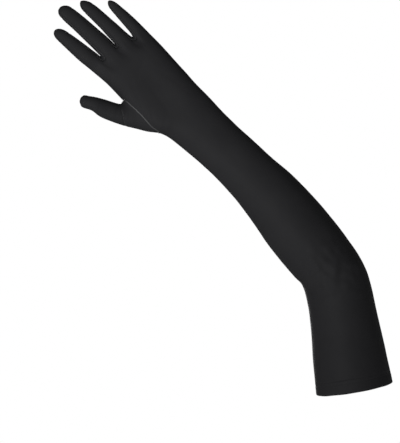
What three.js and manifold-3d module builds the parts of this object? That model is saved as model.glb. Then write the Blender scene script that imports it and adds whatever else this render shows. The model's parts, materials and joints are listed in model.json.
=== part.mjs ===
// A long satin dress glove for the left hand, hollow, in the form it has on an arm bent at the elbow.
// Millimetres, +Z up. The origin is the middle of the arm opening. +Z runs from the wrist to the
// fingertips, +X to the little finger's side, and -Y is the palm's side.
import * as THREE from "three";
import { mergeVertices } from "three/addons/utils/BufferGeometryUtils.js";
import Module from "manifold-3d";

const wasm = await Module();
wasm.setup();

// The cloth, and how its pieces meet
const CLOTH = 1.0;
const SEAM_GAP = 0.3;
const HEM_HEIGHT = 12;
const HEM_WALL = 2.0;

// The sleeve, from the arm opening over the elbow to the wrist
const UPPER_ARM_LENGTH = 124.5;
const FOREARM_LENGTH = 233.5;
const ELBOW_BEND = 35;
const CUFF_WIDTH = 85;
const CUFF_DEPTH = 86;
const CUFF_DIP = 2;
const ELBOW_WIDTH = 71.5;
const ELBOW_DEPTH = 80;
const FOREARM_WIDTH = 73;
const FOREARM_DEPTH = 74;
const WRIST_WIDTH = 57.5;
const WRIST_DEPTH = 43;

// The hand, from the wrist to the roots of the fingers
const PALM_LENGTH = 106;
const PALM_WIDTH = 72.5;
const PALM_DEPTH = 31;
const KNUCKLE_DEPTH = 25;

// The fingers, each measured from the line of the finger roots to its tip
const INDEX_LENGTH = 64.5;
const MIDDLE_LENGTH = 78.5;
const RING_LENGTH = 67.5;
const LITTLE_LENGTH = 46.5;
const FINGER_CURL = 5;
const FORK_WIDTH = 8;
const FORK_END = 11;
const FORK_ROOT = 7;

// The thumb, its gusset and the seam that joins the gusset to the hand
const SEAM_UP = 38;
const SEAM_OUT = 1;
const SEAM_LEAN = -4;
const THUMB_SEAM_LENGTH = 55;
const THUMB_REACH = 36.5;
const THUMB_RISE = 60;
const THUMB_WIDTH = 19.5;
const THUMB_DEPTH = 18.5;
const THUMB_FORWARD = 13;

// How finely the cloth is faceted
const ARM_SIDES = 24;
const FINGER_SIDES = 12;
const THUMB_SIDES = 14;
const RING_STEP = 14;
const ELBOW_STEP = 6;
const FINGER_STEP = 9;
const FORK_STEPS = 8;
const THUMB_STEPS = 2;

// Sections of the sleeve and hand. along is a share of the named length. The centreline leans from +Z
// towards +X by bend, a share of the elbow's bend, plus sway in degrees, up to the next section. tilt
// turns the section itself. square is 2 for an ellipse and more for a flatter form, and palm is the
// share of the depth on the palm's side.
const UPPER_ARM = [
  { along: 0.0, bend: 1.0, sway: 1, tilt: 1.0, width: 1.0, depth: 1.0, square: 2.0, palm: 0.5 },
  { along: 0.32, bend: 1.0, sway: 1.5, tilt: 1.0, width: 0.94, depth: 0.98, square: 2.0, palm: 0.5 },
  { along: 0.645, bend: 0.94, sway: -1.5, tilt: 1.0, width: 0.865, depth: 0.95, square: 2.05, palm: 0.5 },
];
const ELBOW = [
  { along: 0.0, bend: 0.15, sway: 5, tilt: 0.83, width: 1.0, depth: 1.0, square: 2.15, palm: 0.5 },
  { along: 0.1, bend: 0.0, sway: 6, tilt: 0.32, width: 1.0, depth: 0.98, square: 2.15, palm: 0.5 },
];
const FOREARM = [
  { along: 0.205, bend: 0, sway: 6, tilt: 0.09, width: 1.0, depth: 1.0, square: 2.1, palm: 0.5 },
  { along: 0.335, bend: 0, sway: 6, tilt: 0.06, width: 0.983, depth: 0.95, square: 2.1, palm: 0.5 },
  { along: 0.465, bend: 0, sway: 1.5, tilt: 0.05, width: 0.91, depth: 0.83, square: 2.1, palm: 0.5 },
];
const WRIST = [
  { along: 0.593, bend: 0, sway: -0.3, tilt: 0, width: 1.049, depth: 1.19, square: 2.1, palm: 0.5 },
  { along: 0.73, bend: 0, sway: -2.8, tilt: -0.03, width: 1.0, depth: 1.03, square: 2.15, palm: 0.5 },
  { along: 0.871, bend: 0, sway: -2.4, tilt: -0.07, width: 1.005, depth: 0.95, square: 2.2, palm: 0.5 },
];
const PALM = [
  { along: 0.0, bend: 0, sway: -5, tilt: -0.05, width: 0.855, depth: 1.2, square: 2.3, palm: 0.51 },
  { along: 0.19, bend: 0, sway: 1.2, tilt: 0, width: 0.9, depth: 1.06, square: 2.45, palm: 0.53 },
  { along: 0.405, bend: 0, sway: -0.2, tilt: 0, width: 0.925, depth: 1.0, square: 2.55, palm: 0.54 },
  { along: 0.615, bend: 0, sway: -0.1, tilt: 0, width: 0.955, depth: 0.97, square: 2.6, palm: 0.53 },
];
const KNUCKLES = [
  { along: 0.85, bend: 0, sway: -0.6, tilt: 0, width: 0.985, depth: 1.04, square: 2.6, palm: 0.52 },
  { along: 1.0, bend: 0, sway: 0, tilt: 0, width: 0.99, depth: 0.8, square: 2.4, palm: 0.5 },
  { along: 1.045, bend: 0, sway: 0, tilt: 0, width: 0.93, depth: 0.56, square: 2.2, palm: 0.5 },
];

// Creases of the cloth at the elbow. along is a share of the forearm, from the elbow. around is where
// the crease lies, in degrees from the outer side of the elbow towards the back, and spread is how far
// round it reaches. width and depth are shares of the elbow's width.
const CREASES = [
  { along: -0.01, around: 180, spread: 62, width: 0.1, depth: 0.022 },
  { along: 0.06, around: 205, spread: 42, width: 0.07, depth: 0.02 },
  { along: 0.06, around: 150, spread: 40, width: 0.08, depth: 0.016 },
  { along: 0.12, around: 222, spread: 36, width: 0.07, depth: 0.015 },
  { along: 0.02, around: 285, spread: 34, width: 0.07, depth: 0.014 },
  { along: 0.1, around: 318, spread: 30, width: 0.065, depth: 0.012 },
];

// Hollows and mounds of the hand, on the palm's side at 270 degrees and on the back at 90. up is a
// share of the palm's length, across of its width, and rise is a share of its depth, outwards if above 0.
const HAND_RELIEF = [
  { side: -1, up: 0.6, across: 0.02, spreadUp: 0.24, spreadAcross: 0.2, rise: -0.085 },
  { side: -1, up: 0.3, across: 0.26, spreadUp: 0.25, spreadAcross: 0.15, rise: 0.05 },
  { side: 1, up: 0.95, across: -0.36, spreadUp: 0.12, spreadAcross: 0.09, rise: 0.035 },
  { side: 1, up: 0.97, across: -0.1, spreadUp: 0.12, spreadAcross: 0.09, rise: 0.045 },
  { side: 1, up: 0.95, across: 0.15, spreadUp: 0.12, spreadAcross: 0.09, rise: 0.035 },
  { side: 1, up: 0.88, across: 0.37, spreadUp: 0.12, spreadAcross: 0.08, rise: 0.03 },
];

// The fingers side by side. across is where the middle of a finger's root lies on the palm and width
// how wide it is, both as shares of the palm's width. taper is the tip's width over the root's, deep
// the depth over the width, and lean the degrees towards +X.
const FINGERS = [
  { name: "index", length: INDEX_LENGTH, across: 0.122, width: 0.254, taper: 0.75, deep: 0.92, lean: -5.9 },
  { name: "middle", length: MIDDLE_LENGTH, across: 0.388, width: 0.277, taper: 0.79, deep: 0.88, lean: -3.2 },
  { name: "ring", length: RING_LENGTH, across: 0.65, width: 0.239, taper: 0.707, deep: 0.93, lean: -1.8 },
  { name: "little", length: LITTLE_LENGTH, across: 0.896, width: 0.2, taper: 0.62, deep: 0.98, lean: 0.6 },
];

// How a finger narrows. fill is 1 for the root's width and 0 for the tip's, round the part of that
// width which is left as the tip closes, and curl the share of the curl towards the palm.
const FINGER_FORM = [
  { along: -0.28, fill: 1.0, round: 1.0, curl: 0.0 },
  { along: 0.0, fill: 1.0, round: 1.0, curl: 0.0 },
  { along: 0.25, fill: 0.88, round: 1.0, curl: 0.02 },
  { along: 0.5, fill: 0.6, round: 1.0, curl: 0.2 },
  { along: 0.74, fill: 0.3, round: 1.0, curl: 0.52 },
  { along: 0.87, fill: 0.04, round: 1.0, curl: 0.76 },
  { along: 0.945, fill: 0.0, round: 0.82, curl: 0.9 },
  { along: 0.985, fill: 0.0, round: 0.5, curl: 0.98 },
  { along: 1.0, fill: 0.0, round: 0.18, curl: 1.0 },
];

// Sections of the thumb. left and up are shares of its reach and rise from the middle of the gusset's
// seam, turn the degrees from +Z towards +X, width and depth shares of the thumb's own, forward the
// share by which it stands out on the palm's side, and seam the part of the seam's length it has left.
const THUMB = [
  { left: -0.3, up: -0.05, turn: -90, seam: 0.96, width: 0, depth: 1.3, forward: 0.0 },
  { left: 0.0, up: 0.0, turn: -90, seam: 1.0, width: 0, depth: 1.34, forward: 0.05 },
  { left: 0.23, up: 0.167, turn: -76, seam: 0, width: 1.7, depth: 1.25, forward: 0.2 },
  { left: 0.39, up: 0.29, turn: -52, seam: 0, width: 1.16, depth: 1.12, forward: 0.36 },
  { left: 0.505, up: 0.42, turn: -31, seam: 0, width: 1.01, depth: 1.02, forward: 0.5 },
  { left: 0.66, up: 0.62, turn: -29, seam: 0, width: 0.97, depth: 0.98, forward: 0.7 },
  { left: 0.745, up: 0.77, turn: -31, seam: 0, width: 0.78, depth: 0.86, forward: 0.84 },
  { left: 0.87, up: 0.9, turn: -31, seam: 0, width: 0.73, depth: 0.72, forward: 0.95 },
  { left: 0.92, up: 0.965, turn: -31, seam: 0, width: 0.6, depth: 0.52, forward: 0.98 },
  { left: 0.945, up: 1.0, turn: -31, seam: 0, width: 0.22, depth: 0.2, forward: 1.0 },
];
const GUSSET_END = THUMB[3];

// Longer than the glove, for the blocks that cut it
const FAR = 1000;

const radians = THREE.MathUtils.degToRad;

// The direction that leans from +Z towards +X by so many degrees.
function leaning(degrees) {
  return new THREE.Vector3(Math.sin(radians(degrees)), 0, Math.cos(radians(degrees)));
}

// A smooth curve through the rows' values of one column, over their positions s.
function column(rows, name) {
  const positions = rows.map((row) => row.s);
  const values = rows.map((row) => row[name]);
  const curve = new THREE.CubicInterpolant(positions, values, 1, new Float32Array(1));
  return (s) => curve.evaluate(s)[0];
}

// All the columns of a table of sections, as one function of s.
function sections(rows, names) {
  const curves = names.map((name) => [name, column(rows, name)]);
  return (s) => Object.fromEntries(curves.map(([name, curve]) => [name, curve(s)]));
}

// A signed power, for the outline of a section that is squarer than an ellipse.
function bulge(value, square) {
  return Math.sign(value) * Math.abs(value) ** (2 / square);
}

// How near a value is to a place, as a bell from 1 to 0.
function bell(value, place, spread) {
  return Math.exp(-(((value - place) / spread) ** 2));
}

// The degrees between two directions round a section.
function degreesApart(a, b) {
  return Math.abs(((a - b + 540) % 360) - 180);
}

// A closed solid through rings of points that run round it in the same sense.
function loft(rings) {
  const sides = rings[0].length;
  const points = rings.flat();
  const faces = [];
  for (let i = 0; i + 1 < rings.length; i += 1) {
    for (let j = 0; j < sides; j += 1) {
      const a = i * sides + j;
      const b = i * sides + ((j + 1) % sides);
      faces.push([a, b, b + sides], [a, b + sides, a + sides]);
    }
  }
  const last = (rings.length - 1) * sides;
  const start = points.push(middle(rings[0])) - 1;
  const end = points.push(middle(rings.at(-1))) - 1;
  for (let j = 0; j < sides; j += 1) {
    const next = (j + 1) % sides;
    faces.push([start, next, j], [end, last + j, last + next]);
  }
  const corners = points.flatMap((point) => point.toArray());
  return solidFrom(new Float32Array(corners), new Uint32Array(faces.flat()));
}

// The mean of a ring's points.
function middle(ring) {
  const sum = ring.reduce((total, point) => total.add(point), new THREE.Vector3());
  return sum.divideScalar(ring.length);
}

// A solid from the positions of its corners and the corners of its triangles.
function solidFrom(vertProperties, triVerts) {
  return new wasm.Manifold(new wasm.Mesh({ numProp: 3, vertProperties, triVerts }));
}

// A solid from a closed three.js geometry.
function solidOf(geometry) {
  geometry.deleteAttribute("normal");
  geometry.deleteAttribute("uv");
  const merged = mergeVertices(geometry);
  return solidFrom(merged.getAttribute("position").array, new Uint32Array(merged.index.array));
}

// The ring of points round a section, its surface lying inset inside the cloth's outer face.
function ring(centre, facing, shape, sides, inset) {
  const across = new THREE.Vector3(facing.z, 0, -facing.x);
  const halfWidth = shape.width / 2 - inset;
  const points = [];
  for (let j = 0; j < sides; j += 1) {
    const turn = (2 * Math.PI * j) / sides;
    const share = Math.sin(turn) < 0 ? shape.palm : 1 - shape.palm;
    const halfDepth = shape.depth * share - inset;
    const x = halfWidth * bulge(Math.cos(turn), shape.square);
    const y = halfDepth * bulge(Math.sin(turn), shape.square);
    const lift = shape.relief ? shape.relief(turn, x) : 0;
    const point = centre.clone().addScaledVector(across, x + lift * Math.cos(turn));
    point.y += y + lift * Math.sin(turn);
    if (shape.dip) point.addScaledVector(facing, (shape.dip * point.y) / (shape.depth / 2));
    points.push(point);
  }
  return points;
}

// The middle of the sleeve and hand at each section, from the arm opening upwards.
function trunkRows() {
  const elbowAt = UPPER_ARM_LENGTH;
  const parts = [
    { rows: UPPER_ARM, start: 0, length: UPPER_ARM_LENGTH, width: CUFF_WIDTH, depth: CUFF_DEPTH },
    { rows: ELBOW, start: elbowAt, length: FOREARM_LENGTH, width: ELBOW_WIDTH, depth: ELBOW_DEPTH },
    { rows: FOREARM, start: elbowAt, length: FOREARM_LENGTH, width: FOREARM_WIDTH, depth: FOREARM_DEPTH },
    { rows: WRIST, start: elbowAt, length: FOREARM_LENGTH, width: WRIST_WIDTH, depth: WRIST_DEPTH },
    { rows: PALM, start: WRIST_AT, length: PALM_LENGTH, width: PALM_WIDTH, depth: PALM_DEPTH },
    { rows: KNUCKLES, start: WRIST_AT, length: PALM_LENGTH, width: PALM_WIDTH, depth: KNUCKLE_DEPTH },
  ];
  const made = [];
  const place = new THREE.Vector3();
  for (const part of parts) {
    for (const row of part.rows) {
      const s = part.start + row.along * part.length;
      const before = made.at(-1);
      if (before) place.addScaledVector(leaning(before.lean), s - before.s);
      made.push({
        s,
        x: place.x,
        z: place.z,
        lean: row.bend * ELBOW_BEND + row.sway,
        tilt: row.tilt * ELBOW_BEND,
        width: row.width * part.width,
        depth: row.depth * part.depth,
        square: row.square,
        palm: row.palm,
      });
    }
  }
  return made;
}

const WRIST_AT = UPPER_ARM_LENGTH + FOREARM_LENGTH;
const ROOTS_AT = WRIST_AT + PALM_LENGTH;
const TRUNK_ROWS = trunkRows();
const TRUNK_END = TRUNK_ROWS.at(-1).s;
const trunkAt = sections(TRUNK_ROWS, ["x", "z", "tilt", "width", "depth", "square", "palm"]);

// The middle of the trunk at s, and the direction that its section faces there.
function trunkPlace(s) {
  const at = trunkAt(s);
  return { point: new THREE.Vector3(at.x, 0, at.z), facing: leaning(at.tilt) };
}

// How far the cloth stands out or lies in at one place of the sleeve or hand.
function relief(s) {
  const fromElbow = s - UPPER_ARM_LENGTH;
  const fromWrist = (s - WRIST_AT) / PALM_LENGTH;
  return (turn, x) => {
    const degrees = THREE.MathUtils.radToDeg(turn);
    let lift = 0;
    for (const crease of CREASES) {
      const near = bell(fromElbow, crease.along * FOREARM_LENGTH, crease.width * ELBOW_WIDTH);
      const round = bell(degreesApart(degrees, crease.around), 0, crease.spread);
      lift -= crease.depth * ELBOW_WIDTH * near * round;
    }
    for (const mound of HAND_RELIEF) {
      const facing = Math.max(0, mound.side * Math.sin(turn));
      const near = bell(fromWrist, mound.up, mound.spreadUp);
      const round = bell(x / PALM_WIDTH, mound.across, mound.spreadAcross);
      lift += mound.rise * PALM_DEPTH * near * round * facing;
    }
    return lift;
  };
}

// The places of the trunk's rings, closer together at the elbow.
function trunkStations(from, to) {
  const stations = [];
  const elbowFrom = UPPER_ARM_LENGTH - 0.2 * FOREARM_WIDTH;
  const elbowTo = UPPER_ARM_LENGTH + 0.5 * FOREARM_WIDTH;
  const spans = [
    { to: elbowFrom, step: RING_STEP },
    { to: elbowTo, step: ELBOW_STEP },
    { to: ROOTS_AT, step: RING_STEP },
    { to, step: ELBOW_STEP },
  ];
  let at = from;
  for (const span of spans) {
    const count = Math.max(1, Math.ceil((span.to - at) / span.step));
    for (let i = 0; i < count; i += 1) stations.push(at + ((span.to - at) * i) / count);
    at = span.to;
  }
  stations.push(to);
  return stations;
}

// The sleeve and hand as one solid, its surface lying inset inside the cloth's outer face.
function trunkForm(from, inset) {
  const rings = trunkStations(from, TRUNK_END - inset).map((s) => {
    const place = trunkPlace(s);
    const shape = { ...trunkAt(s), relief: relief(s) };
    return ring(place.point, place.facing, shape, ARM_SIDES, inset);
  });
  return loft(rings);
}

// The middle line of a finger, and the sections along it.
function fingerPlan(finger) {
  const rootWidth = finger.width * PALM_WIDTH;
  const tipWidth = finger.taper * rootWidth;
  const rows = FINGER_FORM.map((row) => {
    const width = (tipWidth + (rootWidth - tipWidth) * row.fill) * row.round;
    return { s: row.along * finger.length, width, depth: width * finger.deep, y: -FINGER_CURL * row.curl };
  });
  const at = sections(rows, ["width", "depth", "y"]);
  return { ...finger, rows, at, root: rootPoint(finger.across) };
}

// The point on the line of the finger roots that lies at a share of the palm's width.
function rootPoint(share) {
  const point = trunkPlace(ROOTS_AT).point;
  point.x += (share - 0.5) * PALM_WIDTH;
  return point;
}

const FINGER_PLANS = FINGERS.map(fingerPlan);

// The middle of a finger at a length s from its root.
function fingerPoint(plan, s) {
  const point = plan.root.clone().addScaledVector(leaning(plan.lean), s);
  point.y = plan.at(s).y;
  return point;
}

// The inset that a section can take, less where it is small.
function insetFor(shape, inset) {
  return Math.min(inset, 0.4 * Math.min(shape.width, shape.depth));
}

// A finger as one solid, from inside the hand to its round tip.
function fingerForm(plan, inset) {
  const first = plan.rows[0].s;
  const last = plan.rows.at(-1).s;
  const round = plan.rows.filter((row, i) => FINGER_FORM[i].round < 1);
  const shaft = plan.rows[plan.rows.length - round.length - 1].s;
  const count = Math.ceil((shaft - first) / FINGER_STEP);
  const stations = Array.from({ length: count + 1 }, (_, i) => first + ((shaft - first) * i) / count);
  stations.push(...round.map((row) => row.s));
  const rings = stations.map((s) => {
    const shape = { ...plan.at(s), square: 2.2, palm: 0.5 };
    const kept = s - (inset * Math.max(0, s - shaft)) / (last - shaft);
    return ring(fingerPoint(plan, kept), leaning(plan.lean), shape, FINGER_SIDES, insetFor(shape, inset));
  });
  return loft(rings);
}

// The middle of the thumb's seam, on the edge of the hand.
function seamMiddle() {
  const at = trunkAt(WRIST_AT + SEAM_UP);
  return new THREE.Vector3(at.x - at.width / 2 - SEAM_OUT, 0, at.z);
}

const SEAM = seamMiddle();

// The gusset and thumb as one solid, from inside the hand to the thumb's tip.
function thumbForm(inset) {
  const rows = THUMB.map((row, s) => ({
    s,
    x: SEAM.x - row.left * THUMB_REACH,
    y: -row.forward * THUMB_FORWARD,
    z: SEAM.z + row.up * THUMB_RISE,
    turn: row.turn,
    width: row.seam * THUMB_SEAM_LENGTH + row.width * THUMB_WIDTH,
    depth: row.depth * THUMB_DEPTH,
  }));
  const at = sections(rows, ["x", "y", "z", "turn", "width", "depth"]);
  const last = rows.at(-1).s;
  const rings = [];
  for (let i = 0; i <= last * THUMB_STEPS; i += 1) {
    const s = i / THUMB_STEPS;
    const { x, y, z, turn, width, depth } = at(s);
    const shape = { width, depth, square: 2.2, palm: 0.5 };
    const back = inset * Math.max(0, 1 - (last - s) / 2);
    const point = new THREE.Vector3(x, y, z).addScaledVector(leaning(turn), -back);
    rings.push(ring(point, leaning(turn), shape, THUMB_SIDES, insetFor(shape, inset)));
  }
  return loft(rings);
}

// A block that fills the side of a plane that the direction points to.
function beyond(point, facing) {
  const block = new THREE.BoxGeometry(FAR, FAR, FAR).translate(0, 0, FAR / 2);
  block.applyQuaternion(new THREE.Quaternion().setFromUnitVectors(new THREE.Vector3(0, 0, 1), facing));
  return solidOf(block.translate(point.x, point.y, point.z));
}

// Splits a solid at a plane into the part behind it and the part beyond it, with a seam's gap between.
function splitAt(solid, point, facing) {
  const ahead = point.clone().addScaledVector(facing, SEAM_GAP / 2);
  const behind = point.clone().addScaledVector(facing, -SEAM_GAP / 2);
  return [solid.subtract(beyond(behind, facing)), solid.intersect(beyond(ahead, facing))];
}

// The space beside the hand that the gusset and thumb take, from the wrist to above the thumb's tip.
function thumbSpace(grow) {
  const wrist = trunkPlace(WRIST_AT).point.z;
  const web = SEAM.z + THUMB_SEAM_LENGTH / 2 + grow;
  const top = SEAM.z + 1.2 * THUMB_RISE;
  const seamAt = (z) => SEAM.x + grow + (z - SEAM.z) * Math.tan(radians(SEAM_LEAN));
  const besideIndex = seamAt(web) - SEAM_OUT;
  const outline = new THREE.Shape([
    new THREE.Vector2(seamAt(wrist), wrist),
    new THREE.Vector2(seamAt(web), web),
    new THREE.Vector2(besideIndex, web),
    new THREE.Vector2(besideIndex - 0.1 * THUMB_RISE, top),
    new THREE.Vector2(-FAR, top),
    new THREE.Vector2(-FAR, wrist),
  ]);
  const block = new THREE.ExtrudeGeometry(outline, { depth: FAR, bevelEnabled: false });
  return solidOf(block.translate(0, 0, -FAR / 2).rotateX(Math.PI / 2));
}

// One arm of a fourchette's space, as a bar along the side of a finger that faces its neighbour.
function forkArm(plan, side, grow) {
  const half = FORK_WIDTH / 2 + grow;
  const from = -FORK_ROOT - grow;
  const to = plan.length - FORK_END + grow;
  const rings = [];
  for (let i = 0; i <= FORK_STEPS; i += 1) {
    const s = from + ((to - from) * i) / FORK_STEPS;
    const centre = fingerPoint(plan, s);
    const out = side * (plan.at(s).width / 2 + 2 * CLOTH);
    const corners = [[0, -half], [out, -half], [out, half], [0, half]];
    rings.push(corners.map(([x, y]) => centre.clone().add(new THREE.Vector3(x, y, 0))));
  }
  return loft(side > 0 ? rings : rings.map((corners) => corners.toReversed()));
}

// The space of the fourchette between two neighbouring fingers.
function forkSpace(near, next, grow) {
  return forkArm(near, 1, grow).add(forkArm(next, -1, grow));
}

// The turned-up hem round the arm opening, its edge dipping on the palm's side.
function makeHem() {
  const rings = (inset, over) =>
    [-over, HEM_HEIGHT / 2, HEM_HEIGHT + over].map((s) => {
      const place = trunkPlace(Math.max(0, s));
      place.point.addScaledVector(place.facing, Math.min(0, s));
      const dip = CUFF_DIP * THREE.MathUtils.clamp(1 - s / HEM_HEIGHT, 0, 1);
      return ring(place.point, place.facing, { ...trunkAt(Math.max(0, s)), dip }, ARM_SIDES, inset);
    });
  return loft(rings(0, 0)).subtract(loft(rings(HEM_WALL, CLOTH)));
}

// The whole glove above the hem as one shell of cloth.
function makeShell() {
  let outside = trunkForm(HEM_HEIGHT + SEAM_GAP, 0).add(thumbForm(0));
  let inside = trunkForm(HEM_HEIGHT - CLOTH, CLOTH).add(thumbForm(CLOTH));
  for (const plan of FINGER_PLANS) {
    outside = outside.add(fingerForm(plan, 0));
    inside = inside.add(fingerForm(plan, CLOTH));
  }
  return outside.subtract(inside);
}

// Cuts the shell along its seams into named solids.
function cutPieces(shell) {
  const pieces = new Map();
  const gussetEnd = new THREE.Vector3(
    SEAM.x - GUSSET_END.left * THUMB_REACH,
    0,
    SEAM.z + GUSSET_END.up * THUMB_RISE,
  );
  const [gusset, thumb] = splitAt(shell.intersect(thumbSpace(0)), gussetEnd, leaning(GUSSET_END.turn));
  pieces.set("thumb_gusset", gusset);
  pieces.set("thumb", thumb);

  const wrist = trunkPlace(WRIST_AT);
  const [sleeve, aboveWrist] = splitAt(shell, wrist.point, wrist.facing);
  pieces.set("sleeve", sleeve.subtract(thumbSpace(SEAM_GAP)));
  const [hand, fingers] = splitAt(aboveWrist.subtract(thumbSpace(SEAM_GAP)), rootPoint(0.5), leaning(0));
  pieces.set("hand", hand);

  let rest = fingers;
  for (let i = 0; i + 1 < FINGERS.length; i += 1) {
    const [near, next] = [FINGER_PLANS[i], FINGER_PLANS[i + 1]];
    pieces.set(`fourchette_${near.name}_${next.name}`, rest.intersect(forkSpace(near, next, 0)));
    rest = rest.subtract(forkSpace(near, next, SEAM_GAP));
    const between = rootPoint((near.across + near.width / 2 + next.across - next.width / 2) / 2);
    const [finger, others] = splitAt(rest, between, leaning((near.lean + next.lean) / 2 + 90));
    pieces.set(`finger_${near.name}`, finger);
    rest = others;
  }
  pieces.set(`finger_${FINGERS.at(-1).name}`, rest);
  return pieces;
}

// A named mesh of black satin.
function satinPiece(name, solid) {
  const { vertProperties, triVerts } = solid.getMesh();
  const geometry = new THREE.BufferGeometry();
  geometry.setAttribute("position", new THREE.BufferAttribute(vertProperties, 3));
  geometry.setIndex(new THREE.BufferAttribute(triVerts, 1));
  geometry.computeVertexNormals();
  const satin = new THREE.MeshStandardMaterial({ color: 0x242427, roughness: 0.5, metalness: 0 });
  const mesh = new THREE.Mesh(geometry, satin);
  mesh.name = name;
  return mesh;
}

const glove = new THREE.Group();
glove.add(satinPiece("hem", makeHem()));
for (const [name, solid] of cutPieces(makeShell())) glove.add(satinPiece(name, solid));

export default glove;
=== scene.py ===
"""A long satin dress glove for the left hand, in the form it has on an arm bent at the elbow.

The cloth starts as one cage of quads: a tube for the sleeve and hand, four finger stalls that meet in
webs, and a thumb set into the edge of the hand. The cage is subdivided, creased and parted at its seams.
Sizes are in millimetres until a mesh is made.
"""

import json
import logging
import math
from collections.abc import Sequence
from dataclasses import dataclass, field, fields
from enum import Enum

import bmesh
import bpy
from mathutils import Matrix, Vector, noise

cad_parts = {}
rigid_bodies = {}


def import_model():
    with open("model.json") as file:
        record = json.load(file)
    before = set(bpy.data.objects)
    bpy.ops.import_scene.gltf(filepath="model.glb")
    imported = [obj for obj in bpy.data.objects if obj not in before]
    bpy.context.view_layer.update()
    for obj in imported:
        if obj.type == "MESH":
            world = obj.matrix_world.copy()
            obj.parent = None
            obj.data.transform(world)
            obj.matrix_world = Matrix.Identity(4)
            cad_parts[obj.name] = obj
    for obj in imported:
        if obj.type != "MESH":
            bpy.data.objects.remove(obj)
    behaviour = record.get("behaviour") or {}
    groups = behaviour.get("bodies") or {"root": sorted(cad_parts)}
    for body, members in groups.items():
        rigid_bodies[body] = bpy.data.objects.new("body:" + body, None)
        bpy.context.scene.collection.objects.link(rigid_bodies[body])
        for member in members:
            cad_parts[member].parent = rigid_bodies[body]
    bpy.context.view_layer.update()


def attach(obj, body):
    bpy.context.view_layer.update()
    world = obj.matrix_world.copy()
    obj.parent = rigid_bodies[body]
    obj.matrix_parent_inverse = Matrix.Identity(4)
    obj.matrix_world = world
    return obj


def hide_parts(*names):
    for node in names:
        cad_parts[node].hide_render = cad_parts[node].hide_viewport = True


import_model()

log = logging.getLogger("glove")

MM = 0.001
ELBOW_BEND = 35.0
UPPER_ARM_LENGTH = 124.5
FOREARM_LENGTH = 233.5
PALM_LENGTH = 106.0
WRIST_AT = UPPER_ARM_LENGTH + FOREARM_LENGTH
ROOTS_AT = 468.6
# On the fingers, the length along the cloth from the arm opening is the height and this.
LENGTH_OVER_HEIGHT = 22.6
HEM_TOP = 12.3
CLOTH = 0.8

Ring = list[Vector]


class Piece(Enum):
    """The sewn pieces that the cage is parted into, by the name each has on the glove."""

    BODY = "sleeve_and_hand"
    FORK_INDEX_MIDDLE = "fourchette_index_middle_cloth"
    FORK_MIDDLE_RING = "fourchette_middle_ring_cloth"
    FORK_RING_LITTLE = "fourchette_ring_little_cloth"
    GUSSET = "thumb_gusset_cloth"
    THUMB = "thumb_cloth"


FORKS = (Piece.FORK_INDEX_MIDDLE, Piece.FORK_MIDDLE_RING, Piece.FORK_RING_LITTLE)


class Side(Enum):
    """Which way a part of the cloth faces."""

    PALM = -1
    BACK = 1


def leaning(degrees: float) -> Vector:
    """The direction that leans from +Z towards +X by so many degrees."""
    turn = math.radians(degrees)
    return Vector((math.sin(turn), 0.0, math.cos(turn)))


def across(facing: Vector) -> Vector:
    """The direction across a section that faces this way, towards the little finger's side."""
    return Vector((facing.z, 0.0, -facing.x))


def bell(value: float, spread: float) -> float:
    """How near a value is to nought, as a bell from 1 to 0."""
    return math.exp(-((value / spread) ** 2))


def signed_power(value: float, power: float) -> float:
    """A value raised to a power, with its sign kept."""
    return math.copysign(abs(value) ** power, value)


@dataclass(frozen=True)
class Ramp:
    """A smooth step from 0 at low to 1 at high."""

    low: float
    high: float

    def at(self, value: float) -> float:
        """How far up the step a value lies."""
        t = min(1.0, max(0.0, (value - self.low) / (self.high - self.low)))
        return t * t * (3 - 2 * t)


def blend(a: float, b: float, share: float) -> float:
    """The value that lies a share of the way from a to b."""
    return a + (b - a) * share


def girth(u: float, square: float) -> float:
    """The half depth of a section at a share u of its half width, as a share of its greatest."""
    return max(0.0, 1 - min(1.0, abs(u)) ** square) ** (1 / square)


def curve_through(places: Sequence[float], values: Sequence[float], at: float) -> float:
    """A smooth curve through values at rising places, its slope at each the mean of its neighbours'.

    Args:
        places: the rising places.
        values: the value at each place.
        at: the place that is asked for, held within the ends.

    Returns:
        The value there.
    """
    at = min(max(at, places[0]), places[-1])
    i = max(0, min(len(places) - 2, sum(p <= at for p in places) - 1))
    secant = [(values[k + 1] - values[k]) / (places[k + 1] - places[k]) for k in range(len(places) - 1)]
    slope = [secant[max(0, k - 1)] / 2 + secant[min(k, len(secant) - 1)] / 2 for k in (i, i + 1)]
    step = places[i + 1] - places[i]
    t = (at - places[i]) / step
    start, end = 2 * t**3 - 3 * t**2 + 1, -2 * t**3 + 3 * t**2
    lead, trail = t**3 - 2 * t**2 + t, t**3 - t**2
    return start * values[i] + end * values[i + 1] + step * (lead * slope[0] + trail * slope[1])


def follow(pairs: Sequence[tuple[float, float]], at: float) -> float:
    """The smooth curve through pairs of a place and the value there."""
    return curve_through([place for place, _ in pairs], [value for _, value in pairs], at)


@dataclass(frozen=True)
class Section:
    """A section of the sleeve or hand, as the CAD's tables give it."""

    along: float
    bend: float
    sway: float
    tilt: float
    width: float
    depth: float
    square: float
    palm: float = 0.5


@dataclass(frozen=True)
class Stretch:
    """A run of sections that share a start, a length and a size."""

    start: float
    length: float
    width: float
    depth: float
    sections: tuple[Section, ...]


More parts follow.
